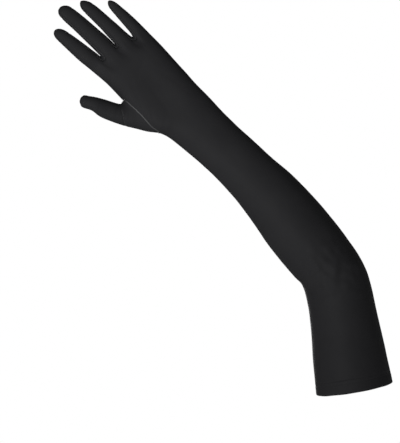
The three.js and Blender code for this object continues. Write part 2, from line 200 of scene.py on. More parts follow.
STRETCHES = (
    Stretch(0.0, UPPER_ARM_LENGTH, 85.0, 86.0, (
        Section(0.0, 1.0, 1, 1.0, 1.0, 1.0, 2.0),
        Section(0.32, 1.0, 1.5, 1.0, 0.94, 0.98, 2.0),
        Section(0.645, 0.94, -1.5, 1.0, 0.865, 0.95, 2.05),
    )),
    Stretch(UPPER_ARM_LENGTH, FOREARM_LENGTH, 71.5, 80.0, (
        Section(0.0, 0.15, 5, 0.83, 1.0, 1.0, 2.15),
        Section(0.1, 0.0, 6, 0.32, 1.0, 0.98, 2.15),
    )),
    Stretch(UPPER_ARM_LENGTH, FOREARM_LENGTH, 73.0, 74.0, (
        Section(0.205, 0, 6, 0.09, 1.0, 1.0, 2.1),
        Section(0.335, 0, 6, 0.06, 0.983, 0.95, 2.1),
        Section(0.465, 0, 1.5, 0.05, 0.91, 0.83, 2.1),
    )),
    Stretch(UPPER_ARM_LENGTH, FOREARM_LENGTH, 57.5, 43.0, (
        Section(0.593, 0, -0.3, 0, 1.049, 1.19, 2.1),
        Section(0.73, 0, -2.8, -0.03, 1.0, 1.03, 2.15),
        Section(0.871, 0, -2.4, -0.07, 1.005, 0.95, 2.2),
    )),
    Stretch(WRIST_AT, PALM_LENGTH, 72.5, 31.0, (
        Section(0.0, 0, -5, -0.05, 0.855, 1.2, 2.3, 0.51),
        Section(0.19, 0, 1.2, 0, 0.9, 1.06, 2.45, 0.53),
        Section(0.405, 0, -0.2, 0, 0.925, 1.0, 2.55, 0.54),
        Section(0.615, 0, -0.1, 0, 0.955, 0.97, 2.6, 0.53),
        Section(0.85, 0, -0.6, 0, 0.985, 0.84, 2.6, 0.52),
        Section(1.0, 0, 0, 0, 0.99, 0.64, 2.4, 0.5),
        Section(1.06, 0, 0, 0, 0.99, 0.58, 2.4, 0.5),
    )),
)


class MiddleLine:
    """The middle of the sleeve and hand, and the size of its section, at any length from the opening."""

    COLUMNS = ("x", "z", "tilt", "width", "depth", "square", "palm")

    def __init__(self) -> None:
        """Walks through the sections, each leaning on from the one before."""
        self.places: list[float] = []
        self.values: dict[str, list[float]] = {name: [] for name in self.COLUMNS}
        place, lean, before = Vector(), 0.0, 0.0
        for stretch in STRETCHES:
            for row in stretch.sections:
                s = stretch.start + row.along * stretch.length
                place += leaning(lean) * (s - before)
                lean, before = row.bend * ELBOW_BEND + row.sway, s
                self.places.append(s)
                sizes = (row.width * stretch.width, row.depth * stretch.depth, row.square, row.palm)
                values = (place.x, place.z, row.tilt * ELBOW_BEND, *sizes)
                for name, value in zip(self.COLUMNS, values):
                    self.values[name].append(value)

    def at(self, s: float, name: str) -> float:
        """One column of the sections at a length s from the arm opening."""
        return curve_through(self.places, self.values[name], s)

    def section(self, s: float) -> dict[str, float]:
        """Every column of the sections at a length s from the arm opening."""
        return {name: self.at(s, name) for name in self.COLUMNS}


@dataclass
class Cage:
    """Quads that carry the piece each belongs to, and a flat place of each corner for the weave.

    length and turn tell where each point lies along the sleeve and round it. seamed holds the points on
    the outer side's seam.
    """

    points: list[Vector] = field(default_factory=list)
    length: list[float] = field(default_factory=list)
    turn: list[float] = field(default_factory=list)
    seamed: set[int] = field(default_factory=set)
    quads: list[tuple[int, ...]] = field(default_factory=list)
    pieces: list[Piece] = field(default_factory=list)
    weave: list[tuple[tuple[float, float], ...]] = field(default_factory=list)
    dome_power = 2.2
    dome_shares = (0.3, 0.7)
    dome_pitch = (4.0, 3.0)

    def add(self, ring: Ring, s: float, turns: list[float]) -> list[int]:
        """Adds a ring of points and returns their numbers.

        Args:
            ring: the points, in order round the section.
            s: the length at which the ring lies, from the arm opening.
            turns: the degrees of each point round the section.

        Returns:
            The number of each point in the cage.
        """
        first = len(self.points)
        self.points.extend(ring)
        self.length.extend([s] * len(ring))
        self.turn.extend(turns)
        return list(range(first, len(self.points)))

    def quad(self, corners: tuple[int, ...], piece: Piece, flat: tuple[tuple[float, float], ...]) -> None:
        """Adds one face.

        Args:
            corners: the numbers of its points.
            piece: the piece that it belongs to.
            flat: the weave's flat place of each corner.
        """
        self.quads.append(corners)
        self.pieces.append(piece)
        self.weave.append(flat)

    def bridge(
        self,
        low: list[int],
        high: list[int],
        piece_of: dict[int, Piece | None] | Piece,
        rise: tuple[float, float],
        pitch: float,
    ) -> None:
        """Joins two rings of as many points by quads.

        Args:
            low: the ring nearer to the arm opening.
            high: the ring beyond it.
            piece_of: the piece of every face, or of each by its place round, None for a hole.
            rise: the weave's place of both rings along the cloth.
            pitch: the width of a face in the weave's flat place.
        """
        count = len(low)
        for j in range(count):
            piece = piece_of if isinstance(piece_of, Piece) else piece_of.get(j, Piece.BODY)
            if piece is None:
                continue
            k = (j + 1) % count
            a, b = j * pitch, (j + 1) * pitch
            flat = ((a, rise[0]), (b, rise[0]), (b, rise[1]), (a, rise[1]))
            self.quad((low[j], low[k], high[k], high[j]), piece, flat)

    def cap(self, ring: list[int], wide: int, piece: Piece, tip: Vector, rise: float) -> None:
        """Closes a ring by a domed grid.

        Args:
            ring: the ring, front row first, then two points, the back row and two points more.
            wide: the points in the front row.
            piece: the piece that the faces belong to.
            tip: how far the middle of the dome stands out from the ring's middle.
            rise: the weave's place of the ring.
        """
        front = ring[:wide]
        back = ring[wide + 2 : 2 * wide + 2][::-1]
        ends = {wide - 1: ring[wide : wide + 2], 0: ring[2 * wide + 2 :][::-1]}
        rows = []
        for i in range(wide):
            if i in ends:
                rows.append([front[i], *ends[i], back[i]])
                continue
            middle = 1 - abs(2 * i / (wide - 1) - 1) ** self.dome_power
            near, far = self.points[front[i]], self.points[back[i]]
            inner = [near.lerp(far, share) + tip * middle for share in self.dome_shares]
            rows.append([front[i], *self.add(inner, self.length[front[i]], [0.0, 0.0]), back[i]])
        along, up = self.dome_pitch
        for i in range(wide - 1):
            for k in range(3):
                corners = (rows[i][k], rows[i + 1][k], rows[i + 1][k + 1], rows[i][k + 1])
                steps = ((0, 0), (1, 0), (1, 1), (0, 1))
                flat = tuple((along * (i + m), rise + up * (k + n)) for m, n in steps)
                self.quad(corners, piece, flat)


@dataclass(frozen=True)
class StallRing:
    """A section of a finger stall: its height, its slant to the right, and its two edges."""

    up: float
    left: float
    right: float
    slant: float = 0.0


@dataclass(frozen=True)
class FingerStall:
    """A finger of the glove: how deep it is for its width, where its tip is, and its sections.

    curl is how far the tip stands towards the palm, and curl_shape its share along the finger. swell
    makes up for what the subdivision takes off a section.
    """

    name: str
    root: tuple[float, float]
    deep: float
    tip: float
    rings: tuple[StallRing, ...]
    shares = (-0.8, -0.42, 0.0, 0.42, 0.8)
    square = 2.6
    curl = 5.0
    curl_from = 441.0
    curl_shape = ((0, 0), (0.25, 0.02), (0.5, 0.2), (0.74, 0.52), (0.87, 0.76), (1, 1))
    swell = 1.034
    tip_forward = 0.4

    @property
    def middle(self) -> float:
        """Where the middle of the finger's root lies across the hand."""
        return sum(self.root) / 2

    @property
    def half(self) -> float:
        """Half the width of the finger's root."""
        return (self.root[1] - self.root[0]) / 2

    def forward(self, up: float) -> float:
        """How far the finger curls towards the palm at a height."""
        along = (up - self.curl_from) / (self.tip - self.curl_from)
        return self.curl * follow(self.curl_shape, along)

    def ring(self, row: StallRing) -> tuple[Ring, list[float]]:
        """The points round one section, and the degrees of each.

        Args:
            row: the section.

        Returns:
            Fourteen points: five in front, two, five behind and two, with their degrees.
        """
        middle, half = (row.left + row.right) / 2, (row.right - row.left) / 2 * self.swell
        deep = half * self.deep
        corner = girth(self.shares[0], self.square)
        side = girth(corner / 3, self.square)
        spots = [(u, -girth(u, self.square)) for u in self.shares]
        spots += [(side, -corner / 3), (side, corner / 3)]
        spots += [(u, girth(u, self.square)) for u in reversed(self.shares)]
        spots += [(-side, corner / 3), (-side, -corner / 3)]
        points = [
            Vector((middle + half * u, deep * v - self.forward(row.up), row.up + row.slant * u / 2))
            for u, v in spots
        ]
        return points, [math.degrees(math.atan2(v, u)) % 360 for u, v in spots]


STALLS = (
    FingerStall("index", (42.5, 59.9), 0.92, 506.6, (
        StallRing(455.5, 41.6, 59.7, 1.5), StallRing(463, 40.7, 58.7, 1), StallRing(471, 40.2, 57.6),
        StallRing(479, 40.1, 56.4), StallRing(487, 39.8, 55.2), StallRing(494, 39.5, 53.9, -1),
        StallRing(499.6, 39.6, 52.8, -1.5), StallRing(502.9, 40.6, 51.2, -1.5),
        StallRing(505.0, 42.1, 49.6, -1.2), StallRing(506.2, 44.0, 47.9, -0.8),
    )),
    FingerStall("middle", (60.7, 80.4), 0.88, 520.3, (
        StallRing(455.5, 60.5, 80.35), StallRing(463, 60.5, 80.1), StallRing(471, 60.5, 79.5),
        StallRing(480, 60.4, 78.8), StallRing(488, 60.2, 78.2), StallRing(496, 60.0, 77.5),
        StallRing(504, 59.7, 76.5), StallRing(511, 59.6, 75.6), StallRing(515.0, 60.1, 74.6, -0.6),
        StallRing(517.8, 61.4, 72.6, -0.6), StallRing(519.4, 63.2, 70.4, -0.4),
        StallRing(520.1, 65.2, 68.4),
    )),
    FingerStall("ring", (80.9, 98.7), 0.93, 509.2, (
        StallRing(451, 81.0, 98.5, -7), StallRing(459, 81.3, 98.1, -5), StallRing(467, 81.6, 97.6, -2),
        StallRing(475, 81.8, 97.0), StallRing(483, 81.8, 96.4), StallRing(491, 81.8, 95.8),
        StallRing(498, 81.7, 94.9), StallRing(502.4, 82.0, 93.7), StallRing(505.6, 83.0, 91.8),
        StallRing(507.8, 84.6, 90.0), StallRing(508.9, 86.2, 88.4),
    )),
    FingerStall("little", (101.0, 115.8), 0.98, 488.2, (
        StallRing(446, 101.3, 115.8), StallRing(453, 101.9, 115.6), StallRing(460, 102.5, 115.4),
        StallRing(467, 102.9, 114.9), StallRing(474, 103.3, 114.2), StallRing(480, 103.8, 113.7),
        StallRing(483.7, 104.7, 112.7), StallRing(486.4, 106.1, 111.5), StallRing(487.8, 107.7, 110.1),
    )),
)


@dataclass(frozen=True)
class Web:
    """The saddle between two fingers: where it lies, how high, and how far it reaches each way."""

    across: float
    up: float
    half = 0.2
    reach = 3.0


WEBS = (Web(60.3, 452.2), Web(80.65, 450.0), Web(99.8, 442.4))


@dataclass(frozen=True)
class ThumbSection:
    """A section of the gusset and thumb, as the CAD's table gives it."""

    left: float
    up: float
    turn: float
    seam: float
    width: float
    depth: float
    forward: float


THUMB_SECTIONS = (
    ThumbSection(-0.3, -0.05, -90, 0.96, 0, 1.3, 0.0),
    ThumbSection(0.0, 0.0, -90, 1.0, 0, 1.34, 0.05),
    ThumbSection(0.23, 0.163, -76, 0, 1.74, 1.25, 0.08),
    ThumbSection(0.39, 0.284, -52, 0, 1.21, 1.12, 0.2),
    ThumbSection(0.505, 0.414, -31, 0, 1.06, 1.02, 0.38),
    ThumbSection(0.66, 0.616, -29, 0, 1.0, 0.98, 0.62),
    ThumbSection(0.745, 0.77, -31, 0, 0.78, 0.86, 0.84),
    ThumbSection(0.865, 0.89, -31, 0, 0.72, 0.72, 0.95),
    ThumbSection(0.912, 0.95, -31, 0, 0.66, 0.62, 0.98),
    ThumbSection(0.935, 0.983, -31, 0, 0.4, 0.36, 1.0),
)


@dataclass(frozen=True)
class ThumbForm:
    """The gusset and thumb, set into the edge of the hand.

    Their table is in shares of these sizes. places are where the rings lie, counted in its sections, and
    swell makes up for what the subdivision takes off. length_from keeps them clear of the sleeve's folds.
    """

    root_across: float = 45.6
    root_up: float = 373.4
    reach: float = 36.5
    rise: float = 60.0
    forward: float = 13.0
    seam_length: float = 55.0
    width: float = 19.5
    depth: float = 18.5
    square: float = 2.2
    corner: float = 24.0
    swell: float = 1.016
    wide: int = 8
    gusset_end: float = 2.8
    tip_lean: float = -31.0
    tip_out: float = 1.6
    length_from: float = 600.0
    length_step: float = 10.0
    weave_pitch: tuple[float, float] = (4.0, 7.0)
    places: tuple[float, ...] = (
        1.55, 1.95, 2.4, 2.8, 3.25, 3.7, 4.2, 4.7, 5.2, 5.6, 6.0, 6.5, 7.0, 7.5, 8.0, 8.5, 8.9,
    )

    def section(self, at: float) -> dict[str, float]:
        """Every column of the thumb's table at a place, counted in sections.

        Args:
            at: the place.

        Returns:
            The value in each column, by its name.
        """
        rows = range(len(THUMB_SECTIONS))
        names = [column.name for column in fields(ThumbSection)]
        return {n: curve_through(rows, [getattr(row, n) for row in THUMB_SECTIONS], at) for n in names}

    def ring(self, at: float) -> tuple[Ring, list[float]]:
        """The points round the gusset or thumb at a place of its table.

        Args:
            at: the place, counted in sections.

        Returns:
            Twenty points: eight in front, two, eight behind and two, with their degrees.
        """
        share = self.section(at)
        left, up = self.reach * share["left"], self.rise * share["up"]
        middle = Vector((self.root_across - left, -self.forward * share["forward"], self.root_up + up))
        width = share["seam"] * self.seam_length + share["width"] * self.width
        depth = share["depth"] * self.depth
        way = across(leaning(share["turn"]))
        arc, third = 180 - 2 * self.corner, self.corner / 3
        back = [self.corner + arc * i / (self.wide - 1) for i in range(self.wide)]
        front = [180 + turn for turn in back]
        turns = [*front, -third, third, *back, 180 - third, 180 + third]
        points = []
        for turn in turns:
            x = width / 2 * signed_power(math.cos(math.radians(turn)), 2 / self.square) * self.swell
            y = depth / 2 * signed_power(math.sin(math.radians(turn)), 2 / self.square) * self.swell
            points.append(middle + way * x + Vector((0, y, 0)))
        return points, [turn % 360 for turn in turns]


@dataclass
class Trunk:
    """The sleeve and hand: forty-four points round, twenty in front, twenty behind and two a side.

    left_edge and seam_line give X for a height. The ramps say where the plain sections give way to the
    hand's own edges: by length from the arm opening, or by height where a name ends in up.
    """

    line: MiddleLine
    front: int = 20
    first_turn: float = 192.27
    turn_step: float = 8.182
    side_seam: int = 21
    elbow_from: float = 102.0
    elbow_to: float = 166.0
    hand_from: float = 341.0
    hole_from: float = 370.6
    hole_to: float = 421.6
    hole_steps: int = 7
    hole_faces: tuple[int, ...] = (41, 42, 43)
    knuckles_from: float = 447.6
    weave_pitch: float = 5.0
    edge_in: float = 2.5
    outer_in: float = 1.9
    outer_swell: float = 0.45
    thumb_square: float = 5.0
    valley_dent: float = 0.2
    sag_depth: float = 10.0
    to_hand: Ramp = Ramp(300, 372)
    to_roots: Ramp = Ramp(430, ROOTS_AT)
    to_valleys: Ramp = Ramp(448, ROOTS_AT)
    to_places: Ramp = Ramp(330, 440)
    to_outer_swell: Ramp = Ramp(300, 350)
    to_outer_edge: Ramp = Ramp(420, 455)
    to_sag: Ramp = Ramp(440, ROOTS_AT)
    sag_across: Ramp = Ramp(84, 104)
    to_left_edge_up: Ramp = Ramp(336, 350)
    to_thumb_up: Ramp = Ramp(338, 356)
    past_thumb_up: Ramp = Ramp(392, 418)
    left_edge: tuple[tuple[float, float], ...] = (
        (336, 50.4), (343, 48.2), (350, 46.0), (360, 44.4), (370, 43.8), (385, 43.8),
        (400, 43.5), (412, 43.6), (424, 43.8), (432, 43.3), (440, 42.6), (448, 42.1),
    )
    seam_line: tuple[tuple[float, float], ...] = (
        (346, 47.3), (352, 45.95), (358, 45.9), (364, 46.5),
        (369, 46.9), (385, 46.4), (398, 45.0), (410, 45.7),
    )

    def stations(self) -> list[float]:
        """The lengths at which the rings lie, closer together at the elbow and on the hand.

        Returns:
            The lengths from the arm opening, from the hem's top to the roots of the fingers.
        """
        stops = (
            (HEM_TOP, 9), (self.elbow_from, 12), (self.elbow_to, 18), (self.hand_from, 4),
            (self.hole_from, self.hole_steps), (self.hole_to, 4), (self.knuckles_from, 3),
        )
        ends = [*(start for start, _ in stops[1:]), ROOTS_AT]
        made = []
        for (start, count), end in zip(stops, ends):
            made += [start + (end - start) * i / count for i in range(count)]
        return [*made, ROOTS_AT]

    def behind(self, j: int) -> int:
        """The number in a ring of the point that lies behind the front point j."""
        return 2 * self.front + 1 - j

    def root_places(self) -> list[float]:
        """Where the twenty points in front lie across the hand at the roots of the fingers."""
        return [stall.middle + stall.half * share for stall in STALLS for share in stall.shares]

    def sag(self, s: float, x: float) -> float:
        """How much lower a ring lies at the little finger's side, whose root is lower."""
        return -self.sag_depth * self.sag_across.at(x) * self.to_sag.at(s)

    def half_widths(self, s: float, at: dict[str, float]) -> tuple[float, float]:
        """How far the cloth reaches from the middle line, on the thumb's side and on the outer side.

        Args:
            s: the length from the arm opening.
            at: the section there.

        Returns:
            Both half widths.
        """
        half = at["width"] / 2
        inner = blend(half, at["x"] - follow(self.left_edge, at["z"]), self.to_left_edge_up.at(at["z"]))
        outer = half + self.outer_swell * self.to_outer_swell.at(s)
        return inner, blend(outer, STALLS[-1].root[1] - at["x"], self.to_outer_edge.at(s))

    def ring(self, s: float) -> tuple[Ring, list[float]]:
        """The points round the section at s, and the degrees of each.

        Args:
            s: the length from the arm opening.

        Returns:
            Forty-four points, from the thumb's side along the palm and back along the back of the hand.
        """
        at = self.line.section(s)
        inner, outer = self.half_widths(s, at)
        hand = self.to_hand.at(s)
        thumb = self.to_thumb_up.at(at["z"]) * (1 - self.past_thumb_up.at(at["z"]))
        cosines = [math.cos(math.radians(self.first_turn + self.turn_step * j)) for j in range(self.front)]
        places = self.root_places()
        edge_in = blend(self.edge_in, places[0] - STALLS[0].root[0], self.to_roots.at(s))
        low = blend(inner * cosines[0], edge_in - inner, hand)
        low = blend(low, follow(self.seam_line, at["z"]) - at["x"], thumb)
        high = blend(outer * cosines[-1], outer - self.outer_in, hand)
        inner_square = blend(at["square"], self.thumb_square, thumb)
        spots: list[tuple[float, float]] = []
        for j, cosine in enumerate(cosines):
            even = (cosine - cosines[0]) / (cosines[-1] - cosines[0])
            rooted = (places[j] - places[0]) / (places[-1] - places[0])
            x = blend(low, high, blend(even, rooted, self.to_places.at(s)))
            by_web = j % 5 in (0, 4) and 0 < j < self.front - 1
            dent = 1 - (self.valley_dent * self.to_valleys.at(s) if by_web else 0.0)
            deep = girth(x / outer, at["square"]) if x > 0 else girth(x / inner, inner_square)
            spots.append((x, deep * dent))
        palm, back = at["depth"] * at["palm"], at["depth"] * (1 - at["palm"])
        left, right = spots[0][1] / 3, spots[-1][1] / 3
        ring = [(x, -palm * deep) for x, deep in spots]
        ring += [(outer * girth(right, at["square"]), depth * right) for depth in (-palm, back)]
        ring += [(x, back * deep) for x, deep in reversed(spots)]
        ring += [(-inner * girth(left, inner_square), depth * left) for depth in (back, -palm)]
        middle, way = Vector((at["x"], 0, at["z"])), across(leaning(at["tilt"]))
        points = []
        for x, y in ring:
            point = middle + way * x + Vector((0, y, 0))
            point.z += self.sag(s, point.x)
            points.append(point)
        mean = at["depth"] / at["width"]
        return points, [math.degrees(math.atan2(y / mean, x)) % 360 for x, y in ring]


@dataclass
class Glove:
    """The whole cloth, from the hem to the fingertips, and the pieces that it is parted into.

    fork_end is how far below a finger's tip its fourchettes end. The faces on a finger's right and left,
    and the point on its right, are counted round its ring.
    """

    line: MiddleLine = field(default_factory=MiddleLine)
    cage: Cage = field(default_factory=Cage)
    thumb: ThumbForm = field(default_factory=ThumbForm)
    fork_end: float = 8.0
    right_faces: tuple[int, ...] = (4, 5, 6)
    left_faces: tuple[int, ...] = (11, 12, 13)
    right_point: int = 6
    web_pitch: tuple[float, float] = (4.0, 6.0)
    finger_pitch: float = 4.0
    finger_weave: float = 470.0

    def build_trunk(self) -> tuple[Trunk, list[float], list[list[int]]]:
        """Adds the sleeve and hand, open at the thumb.

        Returns:
            The trunk, its stations and its rings.
        """
        trunk = Trunk(self.line)
        stations = trunk.stations()
        rings = []
        for s in stations:
            points, turns = trunk.ring(s)
            rings.append(self.cage.add(points, s, turns))
            self.cage.seamed.add(rings[-1][trunk.side_seam])
        for i in range(len(rings) - 1):
            in_hole = trunk.hole_from <= stations[i] < trunk.hole_to
            left_out = dict.fromkeys(trunk.hole_faces) if in_hole else {}
            rise = (stations[i], stations[i + 1])
            self.cage.bridge(rings[i], rings[i + 1], left_out, rise, trunk.weave_pitch)
        return trunk, stations, rings

    def build_webs(self, trunk: Trunk, roots: list[int]) -> list[tuple[list[int], list[int]]]:
        """Adds the webs between the fingers.

        Args:
            trunk: the sleeve and hand.
            roots: the ring at the roots of the fingers.

        Returns:
            For each web, its two points beside the finger before it and its two beside the next.
        """
        saddles = []
        wide, high = self.web_pitch
        for f, (web, fork) in enumerate(zip(WEBS, FORKS)):
            ways = [(x, y) for x in (-web.half, web.half) for y in (-web.reach, web.reach)]
            points = [Vector((web.across + x, y, web.up)) for x, y in ways]
            made = self.cage.add(points, web.up + LENGTH_OVER_HEIGHT, [0.0] * 4)
            near, far = made[:2], made[2:]
            saddles.append((near, far))
            j = len(STALLS[f].shares) * (f + 1) - 1
            k = trunk.behind(j)
            front, back = (roots[j], roots[j + 1]), (roots[k], roots[k - 1])
            rows = [front, (near[0], far[0]), (near[1], far[1]), back]
            for i, ((a, b), (c, d)) in enumerate(zip(rows, rows[1:])):
                low, top = high * i, high * (i + 1)
                self.cage.quad((a, b, d, c), fork, ((0, low), (wide, low), (wide, top), (0, top)))
        return saddles

    def fork_faces(self, f: int) -> dict[int, Piece | None]:
        """The faces of a finger's ring that belong to its fourchettes.

        Args:
            f: the finger, counted from the index.

        Returns:
            The fourchette of each such face.
        """
        right = dict.fromkeys(self.right_faces, FORKS[f]) if f < len(FORKS) else {}
        left = dict.fromkeys(self.left_faces, FORKS[f - 1]) if f > 0 else {}
        return right | left

    def build_fingers(self, trunk: Trunk, roots: list[int]) -> None:
        """Adds the webs and the finger stalls on the last ring of the hand.

        Args:
            trunk: the sleeve and hand.
            roots: the ring at the roots of the fingers.
        """
        saddles = self.build_webs(trunk, roots)
        last = len(STALLS) - 1
        for f, stall in enumerate(STALLS):
            wide = len(stall.shares)
            first = wide * f
            right = saddles[f][0] if f < last else roots[trunk.front : trunk.front + 2]
            left = saddles[f - 1][1][::-1] if f else roots[-2:]
            behind = roots[trunk.behind(first + wide - 1) : trunk.behind(first) + 1]
            low, rise = [*roots[first : first + wide], *right, *behind, *left], self.finger_weave
            for row in stall.rings:
                points, turns = stall.ring(row)
                length = row.up + LENGTH_OVER_HEIGHT
                high = self.cage.add(points, length, turns)
                if f == last:
                    self.cage.seamed.add(high[self.right_point])
                forked = self.fork_faces(f) if row.up < stall.tip - self.fork_end else {}
                self.cage.bridge(low, high, forked, (rise, length), self.finger_pitch)
                low, rise = high, length
            out = Vector((0, -stall.tip_forward, stall.tip - stall.rings[-1].up))
            self.cage.cap(low, wide, Piece.BODY, out, rise)
            log.info("%s finger: %d sections", stall.name, len(stall.rings))

    def build_thumb(self, trunk: Trunk, stations: list[float], rings: list[list[int]]) -> None:
        """Adds the gusset and the thumb in the hole at the edge of the hand.

        Args:
            trunk: the sleeve and hand.
            stations: where the trunk's rings lie.
            rings: the trunk's rings.
        """
        thumb, back = self.thumb, trunk.behind(0)
        first = stations.index(trunk.hole_from)
        held = rings[first : first + trunk.hole_steps + 1]
        low = [ring[0] for ring in held] + [held[-1][-1], held[-1][-2]]
        low += [ring[back] for ring in reversed(held)] + [held[0][-2], held[0][-1]]
        pitch, step = thumb.weave_pitch
        rise = 0.0
        for at in thumb.places:
            points, turns = thumb.ring(at)
            high = self.cage.add(points, thumb.length_from + thumb.length_step * at, turns)
            piece = Piece.GUSSET if at <= thumb.gusset_end else Piece.THUMB
            self.cage.bridge(low, high, piece, (rise, rise + step), pitch)
            low, rise = high, rise + step
        self.cage.cap(low, thumb.wide, Piece.THUMB, leaning(thumb.tip_lean) * thumb.tip_out, rise)

    def build(self) -> Cage:
        """Adds every part of the cloth.

        Returns:
            The cage.
        """
        trunk, stations, rings = self.build_trunk()
        self.build_fingers(trunk, rings[-1])
        self.build_thumb(trunk, stations, rings)
        return self.cage


@dataclass(frozen=True)
class Fold:
    """A fold of the sleeve's cloth across its length.

    at is its length from the arm opening and around its middle in degrees, 180 on the thumb's side and
    270 on the palm's. slope moves it along by so many millimetres for each 10 degrees round.
    """

    at: float
    around: float
    spread: float
    width: float
    rise: float
    slope: float = 0.0


@dataclass(frozen=True)
class Crease:
    """A short crease on one side of the hand, from its middle, with the degrees from +Z towards +X."""

    x: float
    z: float
    heading: float
    length: float
    width: float
    rise: float
    side: Side = Side.PALM


@dataclass(frozen=True)
class Mound:
    """A broad rise or hollow on one side of the hand."""

    x: float
    z: float
    wide: float
    high: float
    rise: float
    side: Side = Side.PALM


FOLDS = tuple(Fold(*row) for row in (
    (116, 205, 30, 8.0, -0.2), (126, 214, 26, 6.0, 0.12, 0.5), (134, 218, 26, 7.0, -0.22, 0.8),
    (148, 222, 30, 6.0, -0.24, 1.2), (99, 148, 30, 7.0, -0.2, -1.0),
    (158, 226, 30, 6.0, -0.22, 1.6), (120, 246, 18, 4.2, -0.34, -1.6),
    (128, 256, 16, 3.8, 0.34, -1.2), (137, 250, 18, 4.2, -0.36, 1.4),
    (110, 256, 22, 4.4, -0.32, 1.8), (132, 272, 16, 5.0, 0.4, 2.4), (141, 262, 16, 4.6, 0.34, -2.2),
    (124, 284, 16, 4.6, -0.34, 2.0), (147, 281, 18, 5.0, -0.32, -1.8),
    (116, 270, 16, 5.0, 0.3, -2.4), (104, 248, 20, 5.2, 0.24, 1.6), (152, 250, 20, 5.4, 0.26, 1.2),
    (93, 262, 26, 7.0, -0.3, 2.0), (121, 128, 30, 4.5, -0.4, 1.4), (131, 140, 30, 4.0, 0.28, 0.8),
    (143, 132, 32, 5.0, -0.36, -1.0), (122, 310, 30, 4.5, -0.22, -1.2),
    (141, 322, 34, 5.0, -0.22, 1.4), (84, 285, 30, 8.0, -0.24, 2.0), (330, 212, 50, 4.5, -0.2, 0.8),
    (339, 218, 50, 4.0, 0.16, 0.6), (322, 150, 60, 5.5, -0.25, -0.8),
    (336, 330, 46, 4.5, -0.2, -0.8), (352, 120, 60, 4.6, -0.22, 0.6),
    (66, 232, 50, 12.0, -0.3, 2.2), (44, 300, 50, 13.0, -0.28, -2.0), (30, 232, 40, 9.0, 0.25, 1.2),
    (205, 250, 50, 16.0, -0.25, 2.6), (262, 285, 50, 18.0, -0.25, -2.4),
    (232, 110, 60, 16.0, -0.3, 2.0),
))

CREASES = tuple(Crease(*row) for row in (
    (57.6, 441, -14, 7, 1.1, -0.34), (60.6, 439, 3, 8, 1.0, -0.3), (63.8, 441, 18, 7, 1.1, -0.3),
    (78.2, 440, -12, 7, 1.1, -0.32), (81.0, 438, 2, 8, 1.0, -0.3), (84.0, 440, 16, 7, 1.1, -0.28),
    (97.4, 431, -14, 7, 1.1, -0.34), (100.2, 430, 4, 8, 1.0, -0.3), (103, 432, 20, 6, 1.1, -0.28),
    (70.3, 446, 90, 8, 1.4, -0.3), (90.0, 443, 94, 7, 1.4, -0.28), (51.0, 447, 86, 7, 1.4, -0.28),
    (49.2, 473, 84, 7, 1.5, -0.34), (70.1, 478, 88, 8, 1.5, -0.34), (89.4, 472, 92, 7, 1.4, -0.32),
    (108.8, 463, 92, 6, 1.3, -0.28), (47.2, 489, 82, 6, 1.2, -0.22), (68.6, 499, 86, 7, 1.2, -0.22),
    (88.9, 490, 92, 6, 1.2, -0.22), (108.8, 475, 92, 5, 1.1, -0.2), (52, 420, 38, 14, 2.2, -0.18),
    (60, 398, 20, 20, 2.6, -0.16), (84, 412, 62, 20, 2.4, -0.16), (72, 372, 8, 24, 3.0, -0.14),
    (96, 384, -12, 26, 3.0, -0.14), (51, 404, 60, 8, 1.4, -0.3), (49, 394, 70, 7, 1.3, 0.25),
    (35.5, 388, 62, 8, 1.3, -0.3), (31.0, 396, 58, 8, 1.3, -0.3), (38.0, 380, 40, 9, 1.6, 0.25),
    (24.5, 404, 60, 8, 1.2, -0.26), (19.5, 412, 58, 8, 1.2, -0.26), (51, 360, 30, 12, 1.8, -0.3),
    (58, 350, 62, 12, 1.8, -0.26), (70.2, 470, 90, 8, 1.6, 0.3, Side.BACK),
    (70.0, 474, 90, 8, 1.2, -0.3, Side.BACK), (49.3, 468, 88, 7, 1.3, -0.3, Side.BACK),
    (89.6, 468, 90, 7, 1.3, -0.3, Side.BACK), (108.8, 458, 90, 6, 1.2, -0.26, Side.BACK),
    (60.5, 440, 4, 9, 1.4, -0.4, Side.BACK), (80.8, 438, 0, 9, 1.4, -0.4, Side.BACK),
    (100.2, 430, 0, 9, 1.4, -0.4, Side.BACK), (56, 392, 26, 22, 2.8, -0.3, Side.BACK),
    (62, 372, 34, 18, 2.6, 0.25, Side.BACK), (48, 410, 40, 10, 1.6, -0.3, Side.BACK),
    (26, 400, 58, 8, 1.3, -0.3, Side.BACK),
))

MOUNDS = tuple(Mound(*row) for row in (
    (81.5, 399, 15, 24, -1.3), (99, 368, 12, 24, 0.8), (58, 372, 12, 20, 0.4),
    (54, 437, 7, 11, 0.9, Side.BACK), (72.5, 439, 7, 11, 1.2, Side.BACK),
    (91, 437, 7, 11, 1.0, Side.BACK), (107, 429, 6, 11, 0.8, Side.BACK), (51, 459, 6, 6, 0.4),
    (70.5, 460, 7, 7, 0.4), (89.5, 457, 6, 6, 0.4), (109, 450, 5, 6, 0.35),
))


